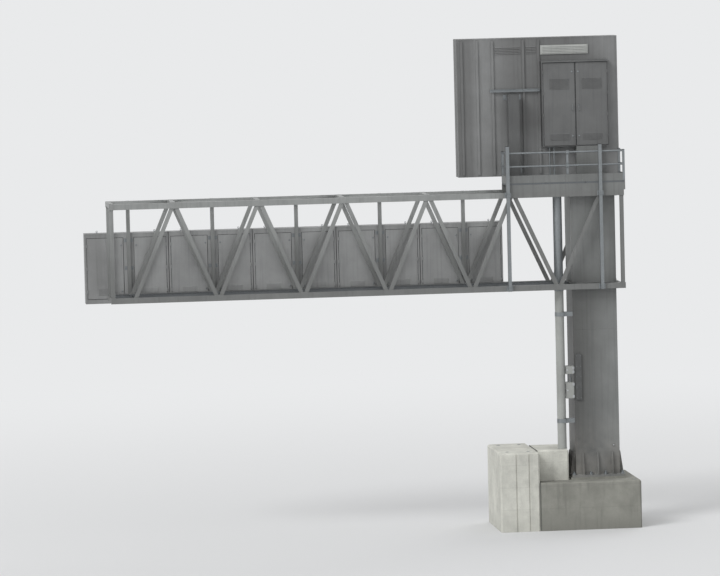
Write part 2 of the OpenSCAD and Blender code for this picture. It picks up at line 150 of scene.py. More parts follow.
def joined(*shapes):
    """Several shapes as one, each shape's corners moved up by the points before it."""
    starts = np.cumsum([0] + [len(s.points) for s in shapes[:-1]])
    return Shape(
        np.concatenate([s.points for s in shapes]),
        np.concatenate([s.corners + start for s, start in zip(shapes, starts)]),
        np.concatenate([s.sides for s in shapes]),
    )


def facing(axis, sign=1):
    """The turn that takes +Z to an axis, or away from it if the sign is -1, and +X to its follower."""
    turn = np.zeros((3, 3))
    turn[axis, 2] = sign
    turn[(axis + 1) % 3, 0] = 1
    turn[(axis + 2) % 3, 1] = sign
    return turn


def stamped(shape, places, axis=Z, sign=1):
    """Copies of a shape: each point is turned from +Z to an axis, then moved by each place."""
    places = np.atleast_2d(np.asarray(places, float))
    points = shape.points @ facing(axis, sign).T
    corners = np.arange(len(places))[:, None] * len(points) + shape.corners
    return Shape(
        (places[:, None] + points).reshape(-1, 3), corners.reshape(-1), np.tile(shape.sides, len(places))
    )


def anticlockwise(profile):
    """The profile, reversed if its signed area is below zero."""
    p = np.asarray(profile, float)
    q = np.roll(p, -1, axis=0)
    return p if (p[:, 0] * q[:, 1] - q[:, 0] * p[:, 1]).sum() > 0 else p[::-1]


def slabs(corner, other, bevel):
    """Boxes with bevelled edges, one for each row of two opposite corners.

    A point is the middle plus its sign times the half size less 0, 1 or 2
    bevels. Eight points go round a box and are carried up through four levels,
    the first and the last drawn in by a bevel.
    """
    corner, other = np.atleast_2d(corner).astype(float), np.atleast_2d(other).astype(float)
    middle, half = (corner + other) / 2, abs(other - corner) / 2
    bevel = np.minimum(bevel, 0.4 * half.min(1))[:, None, None, None]
    sign, inset = np.empty((4, 8, 3)), np.empty((4, 8, 3))
    sign[..., X] = [1, 1, 1, -1, -1, -1, -1, 1]
    sign[..., Y] = [-1, 1, 1, 1, 1, -1, -1, -1]
    sign[..., Z] = np.array([-1, -1, 1, 1])[:, None]
    drawn_in = np.array([1, 0, 0, 1])[:, None]
    inset[..., X] = drawn_in + [0, 0, 1, 1, 0, 0, 1, 1]
    inset[..., Y] = drawn_in + [1, 1, 0, 0, 1, 1, 0, 0]
    inset[..., Z] = 1 - drawn_in
    points = middle[:, None, None] + sign * (half[:, None, None] - bevel * inset)
    one = carried(points[0])
    corners = np.arange(len(middle))[:, None] * len(one.points) + one.corners
    return Shape(points.reshape(-1, 3), corners.reshape(-1), np.tile(one.sides, len(middle)))


def slabs_at(middle, half, bevel):
    """Bevelled boxes round middles, from the middle less to the middle plus a half size."""
    return slabs(middle - half, middle + half, bevel)


def extruded(profile, axis, start, stop):
    """A closed profile carried straight along an axis, drawn in that axis's two cyclic followers."""
    profile = anticlockwise(profile)
    rings = np.empty((2, len(profile), 3))
    rings[..., axis] = [[start], [stop]]
    rings[..., (axis + 1) % 3] = profile[:, 0]
    rings[..., (axis + 2) % 3] = profile[:, 1]
    return carried(rings)


def hoop(low, high, level, profile, axis=Z):
    """A closed profile of (out, up) pairs carried round a rectangle square to an axis.

    At each corner of the rectangle a point is the corner plus out along both
    sides, and level plus up along the axis.
    """
    profile = np.asarray(profile, float)
    profile = anticlockwise(profile[:, ::-1])[:, ::-1]
    out, up = profile[:, 0], profile[:, 1]
    b, c = (axis + 1) % 3, (axis + 2) % 3
    rings = np.empty((4, len(profile), 3))
    rings[..., axis] = level + up
    for i, (sign_b, sign_c) in enumerate([(1, -1), (1, 1), (-1, 1), (-1, -1)]):
        rings[i, :, b] = (high if sign_b > 0 else low)[b] + sign_b * out
        rings[i, :, c] = (high if sign_c > 0 else low)[c] + sign_c * out
    return carried(rings, closed=True)


def full_circle(count):
    """Angles evenly spaced round a circle."""
    return np.linspace(0, 2 * np.pi, count, endpoint=False)


def level_rings(reach, height, angle):
    """Rings about Z: a point is (reach cos a, reach sin a, height)."""
    return np.stack([reach * np.cos(angle), reach * np.sin(angle), height + 0 * angle], -1)


def turned(profile, around=24):
    """A profile of (radius, height) pairs turned about Z: a point is (r cos a, r sin a, h)."""
    radius, height = np.asarray(profile, float).T[:, :, None]
    return carried(level_rings(radius, height, full_circle(around)))


def tube(path, radius, around=12, up=(0, 0, 1)):
    """A round tube along a path of points.

    The ring at each point is centre + radius (cos a side + sin a rise), where
    side is the path's direction crossed with up, and rise the direction
    crossed with side.
    """
    path = np.asarray(path, float)
    along = np.gradient(path, axis=0)
    along /= np.linalg.norm(along, axis=1, keepdims=True)
    side = np.cross(along, up)
    side /= np.linalg.norm(side, axis=1, keepdims=True)
    rise = np.cross(along, side)
    angle = full_circle(around)[None, :, None]
    ring = np.cos(angle) * side[:, None] + np.sin(angle) * rise[:, None]
    return carried(path[:, None] + radius * ring)


def bent(points, radius, steps=6):
    """A path through points whose corners are rounded.

    Each corner is a quadratic curve between the two points a radius before and
    after it.
    """
    points = np.asarray(points, float)
    t = np.linspace(0, 1, steps)[:, None]
    path = [points[:1]]
    for before, corner, after in zip(points, points[1:], points[2:]):
        a = corner + radius * (before - corner) / np.linalg.norm(before - corner)
        b = corner + radius * (after - corner) / np.linalg.norm(after - corner)
        path.append((1 - t) ** 2 * a + 2 * t * (1 - t) * corner + t**2 * b)
    return np.concatenate([*path, points[-1:]])


def fastener(levels):
    """A turned part with flats: each level gives a radius, a height, and 1 where the ring is a hexagon.

    A hexagon's ring is its half width over the cosine of the angle to the
    nearest flat, and other rings are round.
    """
    angle = np.radians(np.arange(12) * 30)
    to_flat = 1 / np.cos((angle + np.pi / 6) % (np.pi / 3) - np.pi / 6)
    radius, height, hexagon = np.array(levels, float).T[:, :, None]
    return carried(level_rings(radius * np.where(hexagon > 0, to_flat, 1.0), height, angle))


def bolts(thread, places, axis=Z, sign=1, stud=0.0):
    """A washer, a hexagon head and, if it has a length, a stud end, along an axis at each place."""
    flat, head, washer = 0.77 * thread, 0.65 * thread, 0.15 * thread
    levels = [
        (1.0 * thread, 0, 0), (1.0 * thread, washer, 0), (flat, washer, 1),
        (flat, washer + 0.85 * head, 1), (0.9 * flat, washer + head, 0),
    ]
    if stud:
        levels += [(0.5 * thread, washer + head, 0), (0.5 * thread, washer + head + stud, 0)]
    return stamped(fastener(levels), places, axis, sign)


def rivets(radius, places, axis, sign):
    """A low dome at each place, of eight points round: a profile turned about an axis."""
    dome = [(radius, 0), (0.85 * radius, 0.35 * radius), (0.4 * radius, 0.6 * radius)]
    return stamped(turned(dome, 8), places, axis, sign)


def spread(start, stop, pitch):
    """Evenly spaced places from start to stop, as near to the pitch as whole steps allow."""
    count = max(1, int(round(abs(stop - start) / pitch)))
    return np.linspace(start, stop, count + 1)


def lattice_of(*lists):
    """All combinations of the X, Y and Z places given, as rows of points."""
    return np.stack(np.meshgrid(*lists, indexing="ij"), -1).reshape(-1, 3)


def heights(levels):
    """A point on the Z axis at each level."""
    return lattice_of([0], [0], levels)


def round_each(places, *lists):
    """All combinations of the X, Y and Z offsets given, from every place."""
    return (places[:, None] + lattice_of(*lists)).reshape(-1, 3)


def on_plane(axis, level, b, c):
    """All combinations of places along an axis's two followers, as points at a level of the axis."""
    lists = [None, None, None]
    lists[axis], lists[(axis + 1) % 3], lists[(axis + 2) % 3] = [level], b, c
    return lattice_of(*lists)


def ring_of(low, high, pitch, axis, level):
    """Points evenly spaced round a rectangle square to an axis, with one at each corner."""
    b, c = (axis + 1) % 3, (axis + 2) % 3
    along_b, along_c = spread(low[b], high[b], pitch), spread(low[c], high[c], pitch)
    return np.concatenate([
        on_plane(axis, level, along_b, [low[c], high[c]]),
        on_plane(axis, level, [low[b], high[b]], along_c[1:-1]),
    ])


# The section of a weld of unit leg, which reaches a little into what it joins
FILLET = np.array([(-0.4, 0), (-0.4, 1), (0, 1), (0.55, 0.6), (1, 0)])


# Finishes. Colours are written as sRGB hex values.


def linear(hex_colour):
    """An sRGB hex value as linear red, green and blue.

    Each is ((v + 0.055) / 1.055) to the power 2.4, or v / 12.92 when v is small.
    """
    share = np.array([int(hex_colour[i : i + 2], 16) for i in (1, 3, 5)]) / 255
    curve = np.where(share > 0.04045, ((share + 0.055) / 1.055) ** 2.4, share / 12.92)
    return tuple(float(v) for v in curve)


def tint(colour, share=1.0):
    """A linear colour times a share, with full alpha, as a socket takes it."""
    return (*(min(1.0, v * share) for v in colour[:3]), 1.0)


def set_inputs(tree, node, inputs):
    """Gives each named or numbered input a value, a socket, or the live output of another node."""
    for key, value in inputs.items():
        if isinstance(key, int):
            socket = node.inputs[key]
        else:
            socket = next(s for s in node.inputs if s.name == key and s.enabled)
        if isinstance(value, bpy.types.Node):
            value = next(s for s in value.outputs if s.enabled)
        if isinstance(value, bpy.types.NodeSocket):
            tree.links.new(value, socket)
        else:
            socket.default_value = value


def add_node(tree, kind, inputs=None, **settings):
    """Adds a node, sets its settings and then its inputs."""
    made = tree.nodes.new("ShaderNode" + kind)
    for name, value in settings.items():
        setattr(made, name, value)
    set_inputs(tree, made, inputs or {})
    return made


def new_material(name):
    """An empty node material with its shader, and the coordinates in metres that its patterns read."""
    material = bpy.data.materials.new(name)
    material.use_nodes = True
    tree = material.node_tree
    tree.nodes.clear()
    shader = add_node(tree, "BsdfPrincipled")
    add_node(tree, "OutputMaterial", {"Surface": shader})
    place = add_node(tree, "TexCoord").outputs["Object"]
    return material, tree, shader, place


# A layer of painted shade and road dirt on a coat: the most that lies anywhere, how its ramps join, and the
# ramps, each an axis with a clean and a darkest place along it
Soil = namedtuple("Soil", "share join ramps")
# The mast carries painted shade: darker towards -X, the carriageway's side, and lower down, darkest on its
# -X side face as painted shadow, and darker at the +X side of its foot as the gussets' painted shadow. Up in
# the boom it is clean
MAST_SHADE = (
    # Darker towards -X and lower down: painted shade
    Soil(0.68, "MULTIPLY", ((X, 0.65, -0.65), (Z, 7.6, 5.6))),
    # The -X side face: painted shadow
    Soil(0.3, "MULTIPLY", ((X, -0.59, -0.6), (Z, 7.6, 5.6))),
    # The +X side of the foot, beside the gussets: painted shadow
    Soil(0.6, "MULTIPLY", ((X, 0.0, 0.4), (Z, 2.3, 1.75))),
)
# The boom is darker along its underside and at its root: painted shade under the lattice and the platform,
# together with road dirt
BOOM_SHADE_AND_DIRT = (Soil(0.45, "MAXIMUM", ((Z, 9.2, 6.7), (X, -2.9, -2.1))),)
# The upper sign is darker down its edge towards the carriageway, and in the middle of its back towards the
# top: painted shade
SIGN_SHADE = (
    Soil(0.35, "MULTIPLY", ((X, -2.95, -3.15),)),
    Soil(0.35, "MULTIPLY", ((X, -2.7, -1.9), (X, 0.6, -0.3), (Z, 10.3, 11.0))),
)
# The boom sign is darker at its free end, past the lattice: painted shade that takes back its coat's painted
# light where no lattice shades it
CASE_SHADE = (Soil(0.35, "MULTIPLY", ((X, -12.9, -13.3),)),)
# The dark tone that painted shade and road dirt both take a coat towards
SHADE_AND_DIRT_TONE, DUST = tint(linear("#2e2d2b")), tint(linear("#8f8c86"))


def coated_metal(tree, shader, place, colour, roughness, film_mm, streak, dust=0.0, shade_and_dirt=()):
    """Paint, powder or gel over metal.

    The colour drifts in 0.8 m patches, rain leaves 60 mm wide streaks down it,
    painted shade and road dirt lie where its ramps put it, and dust near the ground. The film's
    grain is bump.
    """
    patches = add_node(
        tree, "TexNoise", {"Vector": place, "Scale": 1.25, "Detail": 6.0, "Roughness": 0.6}
    )
    drift = add_node(tree, "MapRange", {"Value": patches, "From Min": 0.32, "From Max": 0.68})
    ends = {"A": tint(colour, 0.88), "B": tint(colour, 1.12)}
    tone = add_node(tree, "Mix", {"Factor": drift, **ends}, data_type="RGBA")
    upright = add_node(tree, "Mapping", {"Vector": place, "Scale": (16.0, 16.0, 0.5)})
    rain = add_node(
        tree, "TexNoise", {"Vector": upright, "Scale": 1.0, "Detail": 4.0, "Roughness": 0.55}
    )
    runs = add_node(
        tree, "MapRange", {"Value": rain, "From Min": 0.5, "From Max": 0.74, "To Max": streak}
    )
    wet = {"Factor": runs, "A": tone, "B": tint(colour, 0.55)}
    tone = add_node(tree, "Mix", wet, data_type="RGBA")
    places = add_node(tree, "SeparateXYZ", {"Vector": place}).outputs
    # Each layer darkens the coat where its ramps put painted shade and road dirt
    for layer in shade_and_dirt:
        shade_and_dirt_share = 1.0 if layer.join == "MULTIPLY" else 0.0
        for axis, clean, dirty in layer.ramps:
            run = {"Value": places[axis], "From Min": clean, "From Max": dirty}
            rise = add_node(tree, "MapRange", run, interpolation_type="SMOOTHSTEP")
            shade_and_dirt_share = add_node(tree, "Math", {0: shade_and_dirt_share, 1: rise}, operation=layer.join)
        shade_and_dirt_share = add_node(tree, "Math", {0: shade_and_dirt_share, 1: layer.share}, operation="MULTIPLY")
        tone = add_node(tree, "Mix", {"Factor": shade_and_dirt_share, "A": tone, "B": SHADE_AND_DIRT_TONE}, data_type="RGBA")
    if dust:
        run = {"Value": places[Z], "From Min": 3.2, "From Max": 1.3, "To Max": dust}
        low_down = add_node(tree, "MapRange", run, interpolation_type="SMOOTHSTEP")
        settled = add_node(tree, "Math", {0: low_down, 1: drift}, operation="MULTIPLY")
        tone = add_node(tree, "Mix", {"Factor": settled, "A": tone, "B": DUST}, data_type="RGBA")
    sheen = {"Value": rain, "To Min": roughness - 0.08, "To Max": roughness + 0.12}
    film = add_node(tree, "TexNoise", {"Vector": place, "Scale": 1000 / film_mm, "Detail": 2.0})
    set_inputs(tree, shader, {
        "Base Color": tone,
        "Roughness": add_node(tree, "MapRange", sheen),
        "Normal": add_node(tree, "Bump", {"Strength": 0.25, "Distance": 0.0008, "Height": film}),
    })


def cast_concrete(tree, shader, place, colour, stain):
    """Concrete cast against formwork.

    Half-metre clouds and 20 mm mottling vary its grey, pores are dots where a
    22 mm cell pattern is nearest its centres, darkened as painted shade, a faint pour line
    runs round every 0.6 m as a dark joint, damp darkens it near the ground, and rain
    leaves 0.11 m wide streaks down it.
    """
    clouds = add_node(
        tree, "TexNoise", {"Vector": place, "Scale": 2.0, "Detail": 8.0, "Roughness": 0.62}
    )
    mottle = add_node(
        tree, "TexNoise", {"Vector": place, "Scale": 50.0, "Detail": 3.0, "Roughness": 0.7}
    )
    both = add_node(tree, "Mix", {"Factor": 0.3, "A": clouds, "B": mottle})
    grey = add_node(tree, "MapRange", {"Value": both, "From Min": 0.38, "From Max": 0.62})
    ends = {"A": tint(colour, 0.82), "B": tint(colour, 1.14)}
    tone = add_node(tree, "Mix", {"Factor": grey, **ends}, data_type="RGBA")
    height = add_node(tree, "SeparateXYZ", {"Vector": place}).outputs["Z"]
    run = {"Value": height, "From Min": 0.55, "From Max": 0.0, "To Max": stain}
    damp = add_node(tree, "MapRange", run, interpolation_type="SMOOTHSTEP")
    rising = add_node(tree, "Math", {0: damp, 1: grey}, operation="MULTIPLY")
    wet = {"Factor": rising, "A": tone, "B": tint(colour, 0.45)}
    tone = add_node(tree, "Mix", wet, data_type="RGBA")
    upright = add_node(tree, "Mapping", {"Vector": place, "Scale": (9.0, 9.0, 0.7)})
    rain = add_node(tree, "TexNoise", {"Vector": upright, "Scale": 1.0, "Detail": 4.0})
    runs = add_node(
        tree, "MapRange", {"Value": rain, "From Min": 0.52, "From Max": 0.72, "To Max": stain}
    )
    tone = add_node(tree, "Mix", {"Factor": runs, "A": tone, "B": tint(colour, 0.6)}, data_type="RGBA")
    cells = add_node(tree, "TexVoronoi", {"Vector": place, "Scale": 45.0}).outputs["Distance"]
    pores = add_node(tree, "MapRange", {"Value": cells, "From Min": 0.1, "From Max": 0.22})
    line = add_node(tree, "Math", {0: height, 1: 0.3}, operation="PINGPONG")
    pour = add_node(tree, "MapRange", {"Value": line, "From Max": 0.012, "To Min": 0.72})
    relief = add_node(tree, "Math", {0: pores, 1: pour}, operation="MINIMUM")
    # Pores darkened as painted shade inside them, and the pour line as a dark joint
    pore_shade_and_pour_line = {"Factor": relief, "A": tint(colour, 0.6), "B": tone}
    grain = add_node(tree, "Mix", {"Factor": 0.4, "A": relief, "B": mottle})
    set_inputs(tree, shader, {
        "Base Color": add_node(tree, "Mix", pore_shade_and_pour_line, data_type="RGBA"),
        "Roughness": 0.9,
        "Normal": add_node(tree, "Bump", {"Strength": 0.6, "Distance": 0.004, "Height": grain}),
    })


def dipped_zinc(tree, shader, place, colour):
    """Steel dipped in molten zinc, under a dull bloom.

    Its flat crystals are 25 mm across, real ones being 10 to 20 mm, and each
    has its own grey.
    """
    crystals = add_node(tree, "TexVoronoi", {"Vector": place, "Scale": 40.0}).outputs["Color"]
    bloom = add_node(tree, "TexNoise", {"Vector": place, "Scale": 4.0, "Detail": 6.0})
    both = add_node(tree, "Mix", {"Factor": 0.55, "A": crystals, "B": bloom})
    ends = {"A": tint(colour, 0.72), "B": tint(colour, 1.25)}
    set_inputs(tree, shader, {
        "Base Color": add_node(tree, "Mix", {"Factor": both, **ends}, data_type="RGBA"),
        "Roughness": add_node(tree, "MapRange", {"Value": both, "To Min": 0.42, "To Max": 0.68}),
        "Metallic": 1.0,
    })


def louvred_plastic(tree, shader, place, colour):
    """Moulded black plastic round the lamps of a display.

    A matt skin with a paler lens every 40 mm, the real ones being every 20 mm.
    """
    cells = add_node(tree, "Mapping", {"Vector": place, "Scale": (25.0, 0.0, 25.0)})
    within = add_node(tree, "VectorMath", {0: cells}, operation="FRACTION")
    away = add_node(tree, "VectorMath", {0: within, 1: (0.5, 0.0, 0.5)}, operation="DISTANCE")
    lens = add_node(tree, "MapRange", {"Value": away, "From Min": 0.24, "From Max": 0.16})
    ends = {"A": tint(colour), "B": tint(linear("#4a4b4e"))}
    set_inputs(tree, shader, {
        "Base Color": add_node(tree, "Mix", {"Factor": lens, **ends}, data_type="RGBA"),
        "Roughness": add_node(tree, "MapRange", {"Value": lens, "To Min": 0.78, "To Max": 0.3}),
    })


def aged_rubber(tree, shader, place, colour):
    """Rubber, sealant and PVC: a matt skin that greys in 0.1 m patches as it ages."""
    bloom = add_node(tree, "TexNoise", {"Vector": place, "Scale": 10.0, "Detail": 5.0})
    ends = {"A": tint(colour, 0.8), "B": tint(colour, 1.5)}
    tone = add_node(tree, "Mix", {"Factor": bloom, **ends}, data_type="RGBA")
    set_inputs(tree, shader, {"Base Color": tone, "Roughness": 0.85})


def brushed_stainless(tree, shader, place, colour):
    """Stainless steel brushed along X: 3 mm wide scratches, real ones being finer, vary its gloss."""
    along = add_node(tree, "Mapping", {"Vector": place, "Scale": (12.0, 300.0, 300.0)})
    scratches = add_node(tree, "TexNoise", {"Vector": along, "Scale": 1.0, "Detail": 3.0})
    gloss = add_node(tree, "MapRange", {"Value": scratches, "To Min": 0.22, "To Max": 0.5})
    set_inputs(tree, shader, {"Base Color": tint(colour), "Roughness": gloss, "Metallic": 1.0})


# Each finish gives the slots, nodes and pieces that wear it, its pattern, the name of its
# colour, and what else the pattern takes
FINISHES = {
    # Foundation concrete, grey from the weather: pores, clouds and damp
    "weathered_cast_concrete": ("concrete", cast_concrete, "concrete", 0.5),
    # Impact block concrete, paler and cleaner: a light fine-pored face
    "pale_cast_concrete": ("pale_concrete", cast_concrete, "pale_concrete", 0.22),
    # Dark two-pack paint on the base plate, the brackets and the platform: an even satin film
    "dark_two_pack_paint": (
        "mast_paint toe_boards bearer_channels", coated_metal, "bracket_paint", 0.5, 7, 0.35, 0.5
    ),
    # Two-pack paint on the mast: painted shade on the carriageway's side, darkest on that side face, and at
    # the foot beside the gussets; its clean paler paint up in the boom is painted light; dusty at its foot
    "road_soiled_two_pack_paint": (
        "mast mast_gussets mast_seams mast_collars",
        coated_metal, "mast_paint", 0.5, 7, 0.35, 0.7, MAST_SHADE,
    ),
    # Charcoal two-pack paint on the side post: the darkest of the paints
    "charcoal_two_pack_paint": (
        "side_post_and_foot side_post_trim", coated_metal, "post_paint", 0.5, 7, 0.35
    ),
    # Grey two-pack paint on the lattice: satin, streaked by rain, darker along its underside and at its root
    # with painted shade and road dirt
    "grey_two_pack_paint": ("boom_paint", coated_metal, "boom_paint", 0.5, 7, 0.4, 0.0, BOOM_SHADE_AND_DIRT),
    # Powder coat on the sign's aluminium sheets: dark, fine-grained, low gloss, with painted shade down its
    # edge and in the middle of its back
    "powder_coated_aluminium": ("sign_case", coated_metal, "sign_coat", 0.55, 4, 0.4, 0.0, SIGN_SHADE),
    # Powder coat on the boom's sign cases: as the upper sign's, and a shade paler as painted light against
    # the lattice's shade, darker again at the free end
    "grey_powder_coated_aluminium": (
        "boom_sign_cases boom_sign_trim case_flanges case_rivets case_doors case_door_hinges "
        "case_door_louvres", coated_metal, "case_coat", 0.55, 4, 0.35, 0.0, CASE_SHADE,
    ),
    # Powder coat on the housing: as the upper sign's, and a shade darker
    "dark_powder_coated_aluminium": (
        "rear_housing housing_doors housing_door_hinges housing_door_louvres housing_rain_hood",
        coated_metal, "housing_coat", 0.55, 4, 0.4,
    ),
    # Pale gloss coat on the cable riser and its boxes: smoother and brighter
    "pale_gloss_coat": ("riser_coating", coated_metal, "riser_coat", 0.38, 10, 0.3),
    # Powder coat on the vent plate: the palest of the coats, with a low gloss
    "pale_powder_coated_aluminium": (
        "vent_plate vent_blades", coated_metal, "vent_coat", 0.5, 4, 0.25
    ),
    # Display louvres: matt black plastic with glinting lenses
    "moulded_louvre_plastic": ("display", louvred_plastic, "display"),
    # Hot-dip galvanised steel: dull silver with flat crystals
    "hot_dip_galvanised_steel": ("galvanised", dipped_zinc, "zinc"),
    # Zinc of the gratings: darker than the rest, as painted shade for the dark seam at the deck's edge
    "trodden_galvanised_steel": ("walkway_grating deck_grating", dipped_zinc, "grating_zinc"),
    # Extruded cable duct: matt dark grey plastic, its darkness also painted shade beside the boxes
    "extruded_pvc": ("cable_duct", aged_rubber, "duct"),
    # Door gaskets and post caps: matt and nearly black
    "moulded_rubber": (
        "mast_cover_gasket case_door_gaskets housing_door_gaskets box_gaskets post_caps",
        aged_rubber, "rubber",
    ),
    # Polyurethane sealant in the concrete's joint: matt, close to the concrete's grey
    "cured_joint_sealant": ("joint_sealant", aged_rubber, "sealant"),
    # Hinges, locks and studs of the mast and the boxes: bright brushed steel
    "brushed_stainless_steel": (
        "earth_stud mast_cover_bolts box_furniture", brushed_stainless, "stainless"
    ),
}
WORN = {wearer: name for name, made_of in FINISHES.items() for wearer in made_of[0].split()}


def finish(part, slot):
    """The material of a node or piece, its own or its slot's, made when it is first asked for."""
    name = WORN.get(part, WORN[slot])
    if name not in bpy.data.materials:
        pattern, colour_name, *values = FINISHES[name][1:]
        material, *nodes = new_material(name)
        pattern(*nodes, getattr(bpy.context.scene.gantry_colours, colour_name), *values)
    return bpy.data.materials[name]


# Faces that meet at a sharper angle than this, in degrees, have a sharp edge
CREASE = 40


def add_piece(name, slot, *shapes, instead_of=None):
    """Joins shapes into one mesh object at the origin, which rides on the frame."""
    shape = joined(*shapes)
    mesh = bpy.data.meshes.new(name)
    mesh.vertices.add(len(shape.points))
    mesh.vertices.foreach_set("co", shape.points.astype(np.float32).reshape(-1))
    mesh.loops.add(len(shape.corners))
    mesh.loops.foreach_set("vertex_index", shape.corners.astype(np.int32))
    mesh.polygons.add(len(shape.sides))
    starts = np.cumsum(shape.sides) - shape.sides
    mesh.polygons.foreach_set("loop_start", starts.astype(np.int32))
    mesh.update(calc_edges=True)
    if mesh.validate():
        raise RuntimeError(f"{name} has broken faces")
    mesh.shade_smooth()
    mesh.set_sharp_from_angle(angle=math.radians(CREASE))
    mesh.materials.append(finish(name, slot))
    piece = bpy.data.objects.new(name, mesh)
    bpy.context.scene.collection.objects.link(piece)
    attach(piece, "root")
    if instead_of:
        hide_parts(instead_of)


# Settings that a user would change


def length(name, description, default):
    """A size in metres."""
    return bpy.props.FloatProperty(
        name=name, description=description, default=default, min=0.0, unit="LENGTH"
    )


def angle_of(name, description, degrees):
    """An angle, given in degrees."""
    return bpy.props.FloatProperty(
        name=name, description=description, default=math.radians(degrees), subtype="ANGLE"
    )


def colour(name, description, hex_colour):
    """A colour, given as an sRGB hex value."""
    return bpy.props.FloatVectorProperty(
        name=name, description=description, default=linear(hex_colour),
        size=3, min=0.0, max=1.0, subtype="COLOR",
    )


class GantrySizes(bpy.types.PropertyGroup):
    """Sizes of the details"""

    weld: length("Weld", "Leg of a fillet weld", 0.01)
    bolt: length("Bolt", "Thread of the bolts at the root brackets", 0.024)
    rivet_pitch: length("Rivet pitch", "Between two rivets", 0.15)
    bar_pitch: length("Bar pitch", "Between two bearing bars of a grating", 0.041)
    rod_pitch: length("Rod pitch", "Between two cross rods of a grating", 0.1)
    hood_pitch: length("Hood pitch", "Between two hoods of a display", 0.06)
    hood_depth: length("Hood depth", "How far a hood stands out of a display", 0.022)
    gasket: length("Gasket", "How far a gasket shows round a door", 0.01)


class GantryColours(bpy.types.PropertyGroup):
    """Colours of the finishes and of the backdrop"""

    concrete: colour("Concrete", "Weathered foundation concrete", "#888881")
    pale_concrete: colour("Pale concrete", "Impact block and upstand", "#c4c4bc")
    # Paler than the mast looks: where it shows clean, up in the boom, it is painted light against the boom's
    # shade
    mast_paint: colour("Mast paint", "Dark paint on the mast, under the dirt", "#757776")
    bracket_paint: colour("Bracket paint", "Dark paint on the base plate, brackets and platform", "#6e706f")
    # Under the painted shade and road dirt of its underside and root
    boom_paint: colour("Boom paint", "Grey paint on the lattice, under the dirt", "#8b8d8c")
    sign_coat: colour("Sign coat", "Powder coat on the upper sign", "#7c7d7d")
    # Paler than the upper sign's coat as painted light, making up for the light that the lattice's shade
    # takes away
    case_coat: colour("Case coat", "Paler coat on the boom's sign cases", "#959696")
    housing_coat: colour("Housing coat", "Darker coat on the rear housing", "#636464")
    post_paint: colour("Post paint", "Darkest paint, on the side post", "#555656")
    display: colour("Display", "Plastic round the lamps", "#1a1b1d")
    zinc: colour("Zinc", "Galvanised steel", "#8b8f91")
    # Darker than the other zinc: painted shade for the dark seam at the deck's edge
    grating_zinc: colour("Grating zinc", "Galvanised gratings, dulled by trodden dirt", "#6d7072")
    riser_coat: colour("Riser coat", "Pale coat on the cable riser", "#959794")
    vent_coat: colour("Vent coat", "Palest coat, on the vent plate", "#a6a8a5")
    # Dark also as painted shade: the boxes' shadow on the mast
    duct: colour("Duct", "Plastic of the cable duct", "#4b4c4c")
    rubber: colour("Rubber", "Gaskets and post caps", "#1f2021")
    sealant: colour("Sealant", "Bead in the joint of the foundation", "#5f605c")
    stainless: colour("Stainless steel", "Fittings of the mast and the boxes", "#b9bbbd")
    backdrop: colour("Backdrop", "Floor and background", "#e9eaeb")


class GantryStage(bpy.types.PropertyGroup):
    """Camera, lights and floor"""

    lens: bpy.props.FloatProperty(
        name="Lens", description="Focal length in millimetres", default=246.0, min=20.0
    )
    distance: length("Camera distance", "From the mast to the camera, over the ground", 133.2)
    height: length("Camera height", "Over the plinth's underside", 16.085)
    bearing: angle_of("Bearing", "Of the camera, from -Y towards -X", 8.718)
    roll: angle_of("Roll", "Lean of the camera, tops to the left", 1.4)
    floor_radius: length("Floor radius", "Of the round floor", 120.0)


class OBJECT_OT_gantry_finishes(bpy.types.Operator):
    """Gives every node of the frame its finish"""

    bl_idname = "object.gantry_finishes"
    bl_label = "Finishes"

    def execute(self, context):
        for part in frame["record"]["subparts"]:
            materials = frame["nodes"][part["node"]].data.materials
            materials.clear()
            materials.append(finish(part["node"], part["material_slot"]))
        return {"FINISHED"}


# Foundation and foot


